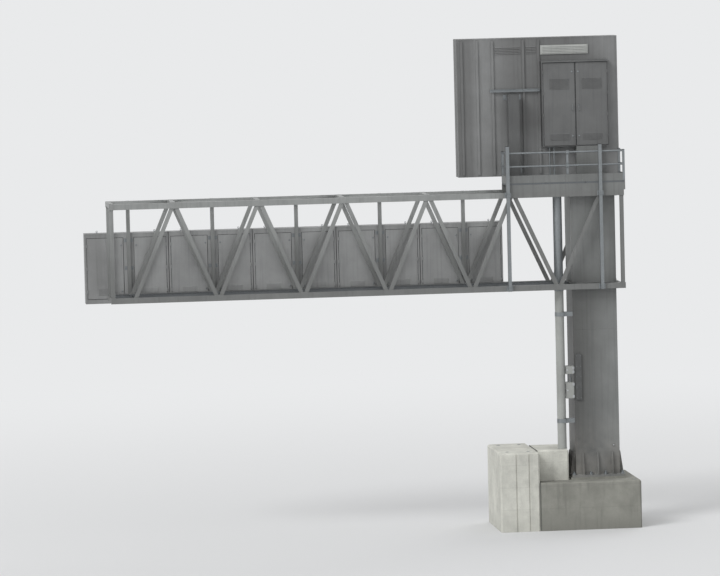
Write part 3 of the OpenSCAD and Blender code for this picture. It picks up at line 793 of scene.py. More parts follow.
class OBJECT_OT_gantry_foundation(bpy.types.Operator):
    """Adds the joint sealant, the tie hole plugs and the lifting sockets of the concrete"""

    bl_idname = "object.gantry_foundation"
    bl_label = "Foundation details"

    def execute(self, context):
        plinth, block, upstand = span("plinth"), span("impact_block"), span("upstand")
        add_piece("joint_sealant", "concrete", self.joint_bead(plinth, upstand))
        self.add_plugs(plinth, block)
        self.add_sockets(plinth, block)
        return {"FINISHED"}

    def joint_bead(self, plinth, upstand, radius=0.013):
        """A round bead up, over and down the joint between the block and what stands against it."""
        edge, inner, top = plinth[0][Y], upstand[0][Y], plinth[1][Z]
        side = [(edge, 0.04), (edge, top), (inner, top), (inner, upstand[1][Z])]
        near = [(y + radius, z - radius) for y, z in side]
        route = np.array(near + [(-y, z) for y, z in reversed(near)])
        path = np.insert(route, 0, plinth[0][X] + radius, axis=1)
        return tube(bent(path, 0.03), radius, 8, up=(1, 0, 0))

    def add_plugs(self, plinth, block, side_edge=0.45, plinth_edge=0.4, pitch=0.65):
        """Mortar plugs in the holes of the formwork ties, smoothed down to 0.2 mm proud.

        They stand in rows at shares of each body's height, on its two long
        sides and its outer end.
        """
        plug = turned([(0.024, 0), (0.024, 0.0001), (0.016, 0.0002)], 12)
        across = np.linspace(plinth[0][Y] + side_edge, plinth[1][Y] - side_edge, 3)
        plinth_along = spread(plinth[0][X] + plinth_edge, plinth[1][X] - plinth_edge, pitch)
        block_along = [block[0][X] + 0.22, block[1][X] - 0.14]
        for name, slot, body, end, along, shares in (
            ("plinth_tie_plugs", "concrete", plinth, 1, plinth_along, [0.27, 0.73]),
            ("block_tie_plugs", "pale_concrete", block, 0, block_along, [0.17, 0.45, 0.73]),
        ):
            rows = body[1][Z] * np.array(shares)
            faces = [
                stamped(plug, lattice_of(along, [side[Y]], rows), Y, sign)
                for side, sign in zip(body, (-1, 1))
            ]
            outer = stamped(plug, lattice_of([body[end][X]], across, rows), X, 2 * end - 1)
            add_piece(name, slot, *faces, outer)

    def add_sockets(self, plinth, block, block_edge=0.25, plinth_edge=0.16):
        """Turned rings round the lifting sockets in the block's top and in the plinth's outer corners."""
        ring = turned([(0.052, 0), (0.052, 0.003), (0.036, 0.007), (0.031, 0.002), (0.008, 0.002)], 16)
        ends = [block[0][X] + block_edge, block[1][X] - block_edge]
        tops = lattice_of(ends, [-0.9, 0.9], [block[1][Z]])
        corners = lattice_of([plinth[1][X] - plinth_edge], [-1.14, 1.14], [plinth[1][Z]])
        add_piece("lifting_sockets", "galvanised", stamped(ring, np.concatenate([tops, corners])))


def anchor_set():
    """A washer, a nut and a stud end of 56 mm thread, whose rings alternate between crest and root."""
    threads = np.arange(12)
    stud = np.stack([np.where(threads % 2, 0.0262, 0.028), 0.057 + 0.0026 * threads, 0 * threads], -1)
    return fastener([
        (0.056, 0, 0), (0.056, 0.011, 0), (0.039, 0.011, 0), (0.041, 0.014, 1), (0.041, 0.053, 1),
        (0.038, 0.056, 0), *stud, (0.024, 0.0896, 0),
    ])


class OBJECT_OT_gantry_foot(bpy.types.Operator):
    """Adds the anchor sets, the welds and the earth stud of the mast's foot"""

    bl_idname = "object.gantry_foot"
    bl_label = "Mast foot"

    def execute(self, context):
        leg = context.scene.gantry_sizes.weld
        low, high = boxes("anchor_bolts")
        places = (low + high) / 2
        places[:, Z] = low[:, Z]
        add_piece("anchor_sets", "galvanised", stamped(anchor_set(), places), instead_of="anchor_bolts")
        (mast_low, mast_high), plate_top = span("mast"), span("base_plate")[1][Z]
        welds = [hoop(mast_low, mast_high, plate_top, FILLET * 1.5 * leg)]
        for gusset in each_box("mast_gussets"):
            welds += self.gusset_welds(*gusset, leg)
        add_piece("foot_welds", "mast_paint", *welds)
        self.add_earth_stud(np.array([mast_high[X] - 0.16, mast_low[Y], plate_top + 0.78]))
        return {"FINISHED"}

    def add_earth_stud(self, place, half=0.035, thick=0.012):
        """A square boss on the mast's face, with the stud for the earth cable on it."""
        boss = slabs(place - (half, thick, half), place + (half, 0, half), 0.003)
        add_piece("earth_boss", "mast_paint", boss)
        add_piece("earth_stud", "galvanised", bolts(0.016, place - (0, thick, 0), Y, -1, 0.02))

    def gusset_welds(self, low, high, leg):
        """Welds round a gusset's foot, and up the mast on both of its sides."""
        out, thin = (X, Y) if high[X] - low[X] > high[Y] - low[Y] else (Y, X)
        inner, away = (low[out], 1) if low[out] > 0 else (high[out], -1)
        welds = [hoop(low, high, low[Z], FILLET * leg)]
        for edge, sign in ((low[thin], -1), (high[thin], 1)):
            corner = np.zeros((3, 2))
            corner[:, out] = inner + away * leg * np.array([0, 1, 0])
            corner[:, thin] = edge + sign * leg * np.array([0, 0, 1])
            welds.append(extruded(corner, Z, low[Z], high[Z]))
        return welds


# Mast


class OBJECT_OT_gantry_mast(bpy.types.Operator):
    """Adds the seams, the collar plates and the access cover of the mast"""

    bl_idname = "object.gantry_mast"
    bl_label = "Mast details"

    def execute(self, context):
        low, high = span("mast")
        # The site weld's height over the foot, and the radius and depth of the corner welds
        seam_rise, radius, sunk = 3.95, 0.006, 0.003
        bead = np.array([(-2, -12), (2.5, -8), (4, 0), (2.5, 8), (-2, 12)]) / 1000
        seam = hoop(low, high, low[Z] + seam_rise, bead)
        corner = turned([(radius, low[Z]), (radius, high[Z])], 8)
        corners = on_plane(Z, 0, [low[X] + sunk, high[X] - sunk], [low[Y] + sunk, high[Y] - sunk])
        add_piece("mast_seams", "mast_paint", seam, stamped(corner, corners))
        bottoms, tops = (np.unique(corner[:, Z].round(3)) for corner in boxes("root_brackets"))
        wide, thick = 0.06, 0.02
        plate = np.array([(0, 0), (wide, 0), (wide, thick), (0, thick)])
        levels = (bottoms[0] - thick, tops[0], bottoms[1] - thick)
        add_piece("mast_collars", "mast_paint", *(hoop(low, high, level, plate) for level in levels))
        self.add_cover(np.array([high[X], 0, low[Z] + 1.08]))
        cap_low, cap_high = span("mast_cap")
        add_piece("mast_cap_weld", "mast_paint", hoop(cap_low, cap_high, cap_low[Z], bead * 0.7))
        return {"FINISHED"}

    def add_cover(self, middle, half_width=0.17, half_height=0.33, lip=0.006):
        """A bolted cover with a grip, over the cable opening, on a rubber gasket."""
        half = np.array([0, half_width, half_height])
        gasket = slabs(middle - half - (0.01, lip, lip), middle + half + lip, 0.001)
        add_piece("mast_cover_gasket", "mast_paint", gasket)
        add_piece(
            "mast_cover", "mast_paint",
            slabs(middle - half + (0.004, 0, 0), middle + half + (0.014, 0, 0), 0.002),
            slabs(middle + (0.012, -0.03, 0.17), middle + (0.02, 0.03, 0.2), 0.002),
        )
        places = ring_of(middle - 0.88 * half, middle + 0.88 * half, 0.19, X, middle[X] + 0.014)
        add_piece("mast_cover_bolts", "galvanised", bolts(0.012, places, X))


class OBJECT_OT_gantry_root(bpy.types.Operator):
    """Adds the bolted end plates and the welds of the brackets between mast and boom"""

    bl_idname = "object.gantry_root"
    bl_label = "Root brackets"

    def execute(self, context):
        sizes = context.scene.gantry_sizes
        thick, lip, across, rise = 0.02, 0.055, 0.1, 0.045
        low, high = boxes("root_brackets")
        side = np.sign(low[:, Y])
        outer, inner = (np.where(side > 0, a[:, Y], b[:, Y]) for a, b in ((high, low), (low, high)))
        back = outer - thick * side
        start, stop = low - (lip, 0, 0), high + (lip, 0, 0)
        start[:, Y], stop[:, Y] = outer, back
        add_piece("root_end_plates", "boom_paint", slabs(start, stop, 0.003))
        heads, welds = [], []
        for a, b, face, foot, way in zip(low, high, back, inner, side):
            x, _, z = (a + b) / 2
            places = on_plane(Y, face, [z - rise, z + rise], [x - across, x + across])
            heads.append(bolts(sizes.bolt, places, Y, -way))
            welds.append(hoop(a, b, foot, FILLET * (sizes.weld, way * sizes.weld), Y))
            welds.append(hoop(a, b, face, FILLET * (sizes.weld, -way * sizes.weld), Y))
        add_piece("root_bolts", "galvanised", *heads)
        add_piece("root_welds", "mast_paint", *welds)
        return {"FINISHED"}


# Lattice boom


def end_welds(axis, leg, *nodes):
    """Fillet welds round both ends of each bar of some nodes, on what stands square to the axis."""
    welds = []
    for points in (points for node in nodes for points in solids(node)):
        for level, rise in ((points[:, axis].min(), 1), (points[:, axis].max(), -1)):
            end = points[abs(points[:, axis] - level) < SAME]
            welds.append(hoop(end.min(0), end.max(0), level, FILLET * (leg, rise * leg), axis))
    return welds


class OBJECT_OT_gantry_lattice(bpy.types.Operator):
    """Adds the welds, the chord end plates and the brace gussets of the boom"""

    bl_idname = "object.gantry_lattice"
    bl_label = "Lattice details"

    def execute(self, context):
        leg = context.scene.gantry_sizes.weld
        uprights = end_welds(Z, leg, "near_diagonals", "far_diagonals", "end_posts")
        add_piece("lattice_welds", "boom_paint", *uprights)
        beams = end_welds(Y, leg, "top_cross_beams", "bottom_cross_beams")
        add_piece("cross_beam_welds", "boom_paint", *beams)
        chords = [span(f"{side}_{level}_chord") for side in ("near", "far") for level in ("top", "bottom")]
        low, high = np.array(chords).transpose(1, 0, 2)
        lip, thick = 0.004, 0.012
        left_high, right_low = high + lip, low - lip
        left_high[:, X], right_low[:, X] = low[:, X], high[:, X]
        add_piece(
            "chord_end_plates", "boom_paint",
            slabs(low - (thick, lip, lip), left_high, 0.002),
            slabs(right_low, high + (thick, lip, lip), 0.002),
        )
        for node in ("top_plan_bracing", "bottom_plan_bracing"):
            self.add_gussets(node)
        return {"FINISHED"}

    def add_gussets(self, node, thick=0.01, half_width=0.13, reach=0.19, offset=0.09):
        """A gusset plate under each brace end, bolted through the brace."""
        plates, heads, nuts = [], [], []
        for points in solids(node):
            edges = (points[:, Y].min(), points[:, Y].max())
            ends = [points[abs(points[:, Y] - edge) < SAME].mean(0) for edge in edges]
            base, top = points[:, Z].min(), points[:, Z].max()
            for end, other in (ends, reversed(ends)):
                way = (other - end) / np.linalg.norm(other - end)
                middle = end[X] + offset * way[X] / abs(way[X])
                corner = (middle - half_width, end[Y], base - thick)
                other_corner = (middle + half_width, end[Y] + reach * np.sign(way[Y]), base)
                plates.append((corner, other_corner))
                places = (end + way * np.array([[0.1], [0.17]])) * (1, 1, 0)
                heads.append(places + (0, 0, base - thick))
                nuts.append(places + (0, 0, top))
        gussets = slabs(*np.array(plates).transpose(1, 0, 2), 0.002)
        add_piece(node.replace("bracing", "gussets"), "boom_paint", gussets)
        under = bolts(0.02, np.concatenate(heads), Z, -1)
        over = bolts(0.02, np.concatenate(nuts), stud=0.01)
        add_piece(node.replace("bracing", "bolts"), "galvanised", under, over)


def grating(low, high, along, sizes):
    """A welded bar grating, in a band that goes round the panel.

    Bars stand on edge along an axis, and rods cross them near their tops.
    """
    across = X + Y - along
    # Half the thickness of a bar and of a rod, and how far inside the ends the outer rods lie
    half, half_rod, inset = 0.0025, 0.003, 0.05

    def row(axis, places, half_width, bottom, top, short=0.0):
        """A slab at each place on the axis, cut short of the panel's edges along its length."""
        start, stop = np.tile(low, (len(places), 1)), np.tile(high, (len(places), 1))
        start[:, :Z] += short
        stop[:, :Z] -= short
        start[:, axis], stop[:, axis] = places - half_width, places + half_width
        start[:, Z], stop[:, Z] = bottom, top
        return slabs(start, stop, 0.0008)

    bars = spread(low[across] + half, high[across] - half, sizes.bar_pitch)
    rods = spread(low[along] + inset, high[along] - inset, sizes.rod_pitch)
    ends = np.array([low[along] + half, high[along] - half])
    return joined(
        row(across, bars[1:-1], half, low[Z] + 0.004, high[Z] - 0.001, 1.9 * half),
        row(along, rods, half_rod, high[Z] - 0.008, high[Z] - 0.002, 1.9 * half),
        row(across, bars[[0, -1]], half, low[Z], high[Z]),
        row(along, ends, half, low[Z], high[Z], 2 * half),
    )


class OBJECT_OT_gantry_walkway(bpy.types.Operator):
    """Replaces the plain walkway panels by bar gratings with their clips"""

    bl_idname = "object.gantry_walkway"
    bl_label = "Walkway"

    def execute(self, context):
        low, high = boxes("boom_walkway")
        panels = [grating(a, b, X, context.scene.gantry_sizes) for a, b in zip(low, high)]
        add_piece("walkway_grating", "galvanised", *panels, instead_of="boom_walkway")
        ends = np.unique(np.round(np.concatenate([low[:, X] + 0.03, high[:, X] - 0.03]), 3))
        places = lattice_of(ends, [-0.24, 0.24], [high[0, Z]])
        half, thick = np.array([0.022, 0.035, 0]), 0.004
        plates = slabs(places - half - (0, 0, 0.002), places + half + (0, 0, thick), 0.0015)
        add_piece("walkway_clips", "galvanised", plates, bolts(0.01, places + (0, 0, thick)))
        return {"FINISHED"}


# Doors and message signs


def hinges(x, face, levels):
    """Barrel hinges on an upright line: a turned barrel and two leaves against the face."""
    barrel = turned([(0.007, -0.045), (0.009, -0.043), (0.009, 0.043), (0.007, 0.045)], 12)
    leaves = slabs(
        [[-0.026, -0.004, -0.035], [0.004, -0.004, -0.035]],
        [[-0.004, 0, 0.035], [0.026, 0, 0.035]], 0.001,
    )
    return stamped(joined(stamped(barrel, [(0, -0.008, 0)]), leaves), lattice_of([x], [face], levels))


def locks(x, face, levels):
    """Quarter turn locks that look along -Y: a rose, a barrel and a hollow for the key."""
    rose = [(24, 0), (24, 5), (15, 9), (15, 15), (8, 16), (7, 12), (2, 12)]
    return stamped(turned(np.array(rose) / 1000, 16), lattice_of([x], [face], levels), Y, -1)


def louvres(low_x, high_x, face, bottom, top, pitch=0.03, out=0.014):
    """Pressed louvres on a face that looks along -Y.

    A blade slopes out and down from the face over two thirds of the pitch.
    """
    blade = [(face, 0), (face - out, -0.6 * pitch), (face - out, -0.66 * pitch), (face, -0.66 * pitch)]
    return stamped(extruded(blade, X, low_x, high_x), heights(spread(bottom + pitch, top, pitch)))


def hoods(low, high, sizes, columns):
    """Hoods over the lamps of a display, and fins between its modules.

    A hood's section leaves the face, drops 10 mm over its depth, and is 3 mm
    thick. The fins divide the width into equal columns.
    """
    face, depth, half_fin = high[Y], sizes.hood_depth, 0.004
    root = face - 0.002
    blade = [(root, 0), (face + depth, -0.010), (face + depth, -0.013), (root, -0.004)]
    levels = spread(low[Z] + 0.035, high[Z] - 0.02, sizes.hood_pitch)
    rows = stamped(extruded(blade, X, low[X] + half_fin, high[X] - half_fin), heights(levels))
    middles = np.linspace(low[X], high[X], columns + 1)[1:-1]
    start, stop = np.tile(low, (len(middles), 1)), np.tile(high, (len(middles), 1))
    start[:, X], stop[:, X] = middles - half_fin, middles + half_fin
    start[:, Y], stop[:, Y] = root, face + depth * 0.85
    return joined(rows, slabs(start, stop, 0.001))


def rim(low, high, width, thick):
    """A flat flange inside the edge of a case's back, which looks along -Y."""
    return hoop(low, high, low[Y], [(-width, 0), (0, 0), (0, -thick), (-width, -thick)], Y)


class OBJECT_OT_gantry_hangers(bpy.types.Operator):
    """Adds the clamp plates, the cleats and the bolts of the sign hangers"""

    bl_idname = "object.gantry_hangers"
    bl_label = "Hangers"

    def execute(self, context):
        low, high = boxes("sign_hangers")
        middles = (low[:, X] + high[:, X]) / 2
        places = lattice_of(middles, [low[0, Y]], chord_levels("far"))
        half_width, half_height, thick = 0.12, 0.065, 0.014
        plates = slabs(
            places - (half_width, 0, half_height), places + (half_width, thick, half_height), 0.003
        )
        add_piece("hanger_clamp_plates", "boom_paint", plates)
        heads = round_each(places, [-0.088, 0.088], [thick], [-0.036, 0.036])
        case_low, case_high = span("boom_sign_cases")
        levels = np.linspace(case_low[Z] + 0.2, case_high[Z] - 0.2, 3)
        half_post = (high[0, X] - low[0, X]) / 2
        # A cleat is an angle: two legs of half the thickness thin, half the width wide
        thin, wide = 0.005, 0.035
        cleats, cleat_heads = [], []
        for sign in (-1, 1):
            feet = lattice_of(middles + sign * half_post, [case_low[Y]], levels)
            for x, y in ((thin, wide), (wide, thin)):
                cleats.append(slabs_at(feet + (sign * x, -y, 0), (x, y, 0.05), 0.002))
            cleat_heads.append(feet + (sign * 0.044, -2 * thin, 0))
        add_piece("hanger_cleats", "galvanised", *cleats)
        through = bolts(0.016, np.concatenate(cleat_heads), Y, -1)
        add_piece("hanger_bolts", "galvanised", bolts(0.02, heads, Y), through)
        return {"FINISHED"}


DOOR_PARTS = ("doors", "door_gaskets", "door_hinges", "door_locks", "door_louvres")


class OBJECT_OT_gantry_boom_sign(bpy.types.Operator):
    """Adds the doors, flanges, lifting eyes and display hoods of the boom's sign cases"""

    bl_idname = "object.gantry_boom_sign"
    bl_label = "Boom sign"

    def execute(self, context):
        sizes = context.scene.gantry_sizes
        cases = each_box("boom_sign_cases")
        # The doors' distance from the case's sides, from the hanger, and from its top and bottom
        margin, clear, sill, proud = 0.06, 0.1, 0.13, 0.02
        made = {name: [] for name in ("flanges", "rivets", *DOOR_PARTS)}
        for (low, high), (hanger_low, hanger_high) in zip(cases, each_box("sign_hangers")):
            made["flanges"].append(rim(low, high, 0.035, 0.004))
            places = ring_of(low + 0.018, high - 0.018, sizes.rivet_pitch, Y, low[Y] - 0.004)
            made["rivets"].append(rivets(0.008, places, Y, -1))
            sides = (
                (low[X] + margin, hanger_low[X] - clear, -1),
                (hanger_high[X] + clear, high[X] - margin, 1),
            )
            for left, right, side in sides:
                door_low = np.array([left, low[Y] - proud, low[Z] + sill])
                door_high = np.array([right, low[Y], high[Z] - sill])
                for name, shape in self.door(door_low, door_high, side, sizes.gasket).items():
                    made[name].append(shape)
        for name, shapes in made.items():
            add_piece(f"case_{name}", "galvanised" if name == "door_locks" else "sign_case", *shapes)
        eyes = [lattice_of([a[X] + 0.35, b[X] - 0.35], [(a[Y] + b[Y]) / 2], [b[Z]]) for a, b in cases]
        add_piece("case_lifting_eyes", "galvanised", stamped(lifting_eye(), np.concatenate(eyes)))
        displays = [hoods(*display, sizes, 7) for display in each_box("boom_sign_displays")]
        add_piece("boom_display_hoods", "display", *displays)
        return {"FINISHED"}

    def door(self, low, high, side, gasket):
        """A door with its gasket, hinges, locks and louvres, hung on its left or its right side."""
        grow = np.array([gasket, -0.014, gasket])
        hinge_x, lock_x = (low[X], high[X] - 0.05) if side < 0 else (high[X], low[X] + 0.05)
        levels = spread(low[Z] + 0.2, high[Z] - 0.2, 0.7)
        middle, face = (low[X] + high[X]) / 2, low[Y]
        vent = louvres(middle - 0.2, middle + 0.2, face + 0.001, low[Z] + 0.1, low[Z] + 0.28)
        return dict(zip(DOOR_PARTS, (
            slabs(low, high, 0.005), slabs(low - grow, high + grow * (1, 0, 1), 0.001),
            hinges(hinge_x, face, levels), locks(lock_x, face, levels[[0, -1]]), vent,
        )))


def lifting_eye(ring=0.02, wire=0.006):
    """An eye bolt: a ring of round wire standing on a turned collar."""
    angle = full_circle(16)
    centre = np.stack([np.cos(angle), 0 * angle, np.sin(angle)], -1)
    turn = full_circle(8)[None, :, None]
    rings = centre[:, None] * (ring + wire * np.cos(turn)) - wire * np.sin(turn) * np.array([0, 1, 0])
    lifted = stamped(carried(rings, closed=True), [(0, 0, ring + 0.022)])
    return joined(lifted, turned([(0.022, 0), (0.022, 0.007), (0.01, 0.013), (0.008, 0.024)], 12))


class OBJECT_OT_gantry_upper_sign(bpy.types.Operator):
    """Adds the flanges, rivets, rail, vents and hoods of the upper sign"""

    bl_idname = "object.gantry_upper_sign"
    bl_label = "Upper sign"

    def execute(self, context):
        sizes = context.scene.gantry_sizes
        pitch = sizes.rivet_pitch
        low, high = span("upper_sign_case")
        back = low[Y]
        ribs = each_box("upper_sign_ribs", X)
        heads = [rivets(0.009, ring_of(low + 0.02, high - 0.02, pitch, Y, back - 0.005), Y, -1)]
        for a, b in ribs:
            levels = spread(a[Z] + 0.06, b[Z] - 0.06, pitch)
            heads.append(rivets(0.006, lattice_of([a[X] + 0.015, b[X] - 0.015], [a[Y]], levels), Y, -1))
        add_piece("upper_sign_flange", "sign_case", rim(low, high, 0.04, 0.005))
        add_piece("upper_sign_rivets", "sign_case", *heads)
        self.add_rail(ribs)
        vent_low, vent_high = span("vent_plate")
        floor, top = vent_low[Z] + 0.02, vent_high[Z] - 0.02
        bays = [(a[1][X] + 0.04, b[0][X] - 0.04) for a, b in zip(ribs[2:], ribs[3:])]
        vents = [louvres(left, right, back, floor, top, 0.04, 0.02) for left, right in bays]
        add_piece("upper_sign_louvres", "sign_case", *vents)
        add_piece("upper_sign_side_seams", "sign_case", *self.side_seams(low, high, pitch))
        add_piece("upper_display_hoods", "display", hoods(*span("upper_sign_display"), sizes, 14))
        return {"FINISHED"}

    def add_rail(self, ribs, wall=0.006, reach=0.04):
        """A channel across the ribs, at the top of the side post, bolted to each rib that it crosses."""
        post_low, post_high = span("side_post_and_foot")
        left, right = post_low[X] - 0.4, ribs[4][1][X]
        base, top = post_high[Z] + 0.06, post_high[Z] + 0.14
        web = ribs[0][0][Y]
        inner, toe = web - wall, web - reach
        section = [
            (web, base), (web, top), (toe, top), (toe, top - wall),
            (inner, top - wall), (inner, base + wall), (toe, base + wall), (toe, base),
        ]
        add_piece("upper_sign_rail", "galvanised", extruded(section, X, left, right))
        crossed = [(a[X] + b[X]) / 2 for a, b in ribs if left < a[X] < right]
        places = lattice_of(crossed, [inner], [(base + top) / 2])
        add_piece("rail_bolts", "galvanised", bolts(0.014, places, Y, -1))

    def side_seams(self, low, high, pitch, thick=0.004, half_width=0.03, row=0.015):
        """A flat cover strip up each of the case's two sides, with two rows of rivets on it."""
        shapes = []
        middle, base, top = (low[Y] + high[Y]) / 2, low[Z] + 0.03, high[Z] - 0.03
        for edge, sign in ((low[X], -1), (high[X], 1)):
            face = edge + thick * sign
            strip = slabs((edge, middle - half_width, base), (face, middle + half_width, top), 0.001)
            places = lattice_of([face], [middle - row, middle + row], spread(base + 0.05, top - 0.05, pitch))
            shapes += [strip, rivets(0.006, places, X, sign)]
        return shapes


class OBJECT_OT_gantry_housing(bpy.types.Operator):
    """Adds the housing's door furniture, rain hood, glands and conduits, and the vent's blades"""

    bl_idname = "object.gantry_housing"
    bl_label = "Rear housing"

    def execute(self, context):
        gasket = context.scene.gantry_sizes.gasket
        low, high = span("rear_housing")
        made = {name: [] for name in ("gaskets", "hinges", "locks", "handles", "louvres")}
        for (a, b), side in zip(each_box("housing_doors", X), (-1, 1)):
            seal_low = np.array([a[X] - gasket, b[Y] - 0.007, a[Z] - gasket])
            made["gaskets"].append(slabs(seal_low, b + np.array([gasket, 0, gasket]), 0.001))
            hinge_x, lock_x = (a[X], b[X] - 0.07) if side < 0 else (b[X], a[X] + 0.07)
            face, middle = a[Y], (a + b) / 2
            levels = np.linspace(a[Z] + 0.25, b[Z] - 0.25, 4)
            made["hinges"].append(hinges(hinge_x, face, levels))
            made["locks"].append(locks(lock_x, face, levels[[0, -1]]))
            made["handles"].append(self.handle(np.array([lock_x, face, middle[Z] - 0.1])))
            for floor, top in ((b[Z] - 0.72, b[Z] - 0.42), (a[Z] + 0.14, a[Z] + 0.32)):
                vent = louvres(middle[X] - 0.27, middle[X] + 0.27, face + 0.001, floor, top)
                made["louvres"].append(vent)
        for name, shapes in made.items():
            slot = "galvanised" if name in ("locks", "handles") else "sign_case"
            add_piece(f"housing_door_{name}", slot, *shapes)
        self.add_hood(low, high)
        self.add_glands(low, high)
        a, b = span("vent_plate")
        blades = louvres(a[X] + 0.04, b[X] - 0.04, a[Y], a[Z] + 0.02, b[Z] - 0.02, 0.045, 0.016)
        add_piece("vent_blades", "riser_coating", blades)
        return {"FINISHED"}

    def handle(self, place):
        """A pull handle: a round bar that leaves the door, turns down and comes back."""
        out = np.array([(0, 0, 0.08), (0, -0.045, 0.08), (0, -0.045, -0.08), (0, 0, -0.08)])
        return tube(bent(place + out, 0.02), 0.007, 10, up=(1, 0, 0))

    def add_hood(self, low, high, reach=0.06, thick=0.004):
        """A folded sheet over the housing's top, which slopes past the doors to a drip edge."""
        front, top = low[Y] - reach, high[Z]
        section = [
            (high[Y], top + 0.04), (front, top + 0.012), (front, top - 0.014),
            (front + thick, top - 0.014), (front + thick, top + 0.008), (high[Y], top + 0.034),
        ]
        wedge = [(high[Y], top), (high[Y], top + 0.034), (front + thick, top + 0.008), (low[Y], top)]
        sheet = extruded(section, X, low[X] - 0.02, high[X] + 0.02)
        add_piece("housing_rain_hood", "sign_case", sheet, extruded(wedge, X, low[X], high[X]))

    def add_glands(self, low, high, apart=0.06, thick=0.006, radius=0.0225):
        """A gland plate under the housing, and two conduits down to the riser under the platform."""
        pipe_low, pipe_high = span("riser_pipe")
        riser = (pipe_low + pipe_high) / 2
        depth, floor = (low[Y] + high[Y]) / 2, low[Z]
        columns = riser[X] + np.array([-apart, apart])
        gland = fastener([(0.034, 0, 1), (0.034, 0.02, 1), (0.028, 0.024, 0), (0.028, 0.045, 0)])
        under = floor - thick
        corner, other = (columns[0] - 0.08, depth - 0.07, under), (columns[1] + 0.08, depth + 0.07, floor)
        plate = slabs(corner, other, 0.001)
        glands = stamped(gland, lattice_of(columns, [depth], [under]), Z, -1)
        add_piece("housing_gland_plate", "galvanised", plate, glands)
        bend = span("near_top_chord")[1][Z] - 0.08
        turns = [(depth, floor - 0.03), (depth, bend), (riser[Y] + 0.08, bend)]
        routes = [bent([(x, *turn) for turn in turns], 0.09, 8) for x in columns]
        pipes = [tube(route, radius, 12, up=(1, 0, 0)) for route in routes]
        add_piece("housing_conduits", "galvanised", *pipes)


# Supports


def footing(low, high, floor, lip, thick, thread, leg, within=None):
    """Three shapes at a post's foot: a plate, the bolts round its edge and a weld round the post.

    The plate stays within the two corners given, and a bolt that would stand
    in the post is left out.
    """
    start = np.array([low[X] - lip, low[Y] - lip, floor])
    stop = np.array([high[X] + lip, high[Y] + lip, floor + thick])
    if within is not None:
        start[:Z] = np.maximum(start[:Z], within[0][:Z])
        stop[:Z] = np.minimum(stop[:Z], within[1][:Z])
    places = ring_of(start + 0.45 * lip, stop - 0.45 * lip, 0.22, Z, floor + thick)
    away = np.maximum(low - places, places - high)[:, :Z].max(1)
    return (
        slabs(start, stop, 0.003),
        bolts(thread, places[away > thread], stud=0.4 * thread),
        hoop(low, high, floor + thick, FILLET * leg),
    )


class OBJECT_OT_gantry_supports(bpy.types.Operator):
    """Adds the plates, bolts, stiffeners and caps of the column and the post under the upper sign"""

    bl_idname = "object.gantry_supports"
    bl_label = "Sign supports"

    def execute(self, context):
        leg = context.scene.gantry_sizes.weld
        low, high = span("head_column")
        thick = 0.025
        plate, heads, weld = footing(low, high, low[Z], 0.09, thick, 0.027, leg)
        stiffeners = self.stiffeners(low, high, low[Z] + thick)
        add_piece("column_foot_plate", "mast_paint", plate, weld, *stiffeners)
        add_piece("column_foot_bolts", "galvanised", heads)
        low, high = span("side_post_and_foot")
        floor = low[Z] + 0.02
        places = ring_of(low + 0.023, high - 0.023, 0.12, Z, floor)
        add_piece("side_post_bolts", "galvanised", bolts(0.016, places, stud=0.01))
        # The post stands inside the edge of its foot plate
        edge = np.array([0.05, 0.05, 0])
        inner_low, inner_high = low + edge, high - edge
        cap_low, cap_high = inner_low - 0.008, inner_high + (0.008, -0.008, 0.012)
        cap_low[Z] = inner_high[Z]
        weld = hoop(inner_low, inner_high, floor, FILLET * leg)
        add_piece("side_post_trim", "sign_case", weld, slabs(cap_low, cap_high, 0.003))
        self.add_lugs()
        return {"FINISHED"}

    def stiffeners(self, low, high, floor, rise=0.16, reach=0.07, half_thick=0.006):
        """Upright triangular plates from a foot plate up a column's two sides."""
        middles = np.linspace(low[Y], high[Y], 4)[1:-1]
        plates = []
        for edge, sign in ((low[X], -1), (high[X], 1)):
            far = edge + sign * reach
            outline = [(floor, edge), (floor, far), (floor + 0.02, far), (floor + rise, edge)]
            plates += [extruded(outline, Y, y - half_thick, y + half_thick) for y in middles]
        return plates

    def add_lugs(self, reach=0.09, thick=0.012, half_height=0.07):
        """Lugs beside each cleat on the sign's back, with two bolts through each."""
        low, high = boxes("side_post_cleats")
        lugs, heads = [], []
        for edge, sign in ((low[:, X], -1), (high[:, X], 1)):
            near = np.stack([edge, high[:, Y], (low[:, Z] + high[:, Z]) / 2], -1)
            far = near + (sign * reach, -thick, 0)
            lugs.append(slabs(near - (0, 0, half_height), far + (0, 0, half_height), 0.002))
            heads.append(round_each(far + (-sign * 0.04, 0, 0), [0], [0], [-0.035, 0.035]))
        add_piece("cleat_lugs", "galvanised", *lugs)
        add_piece("cleat_bolts", "galvanised", bolts(0.016, np.concatenate(heads), Y, -1))


# Platform


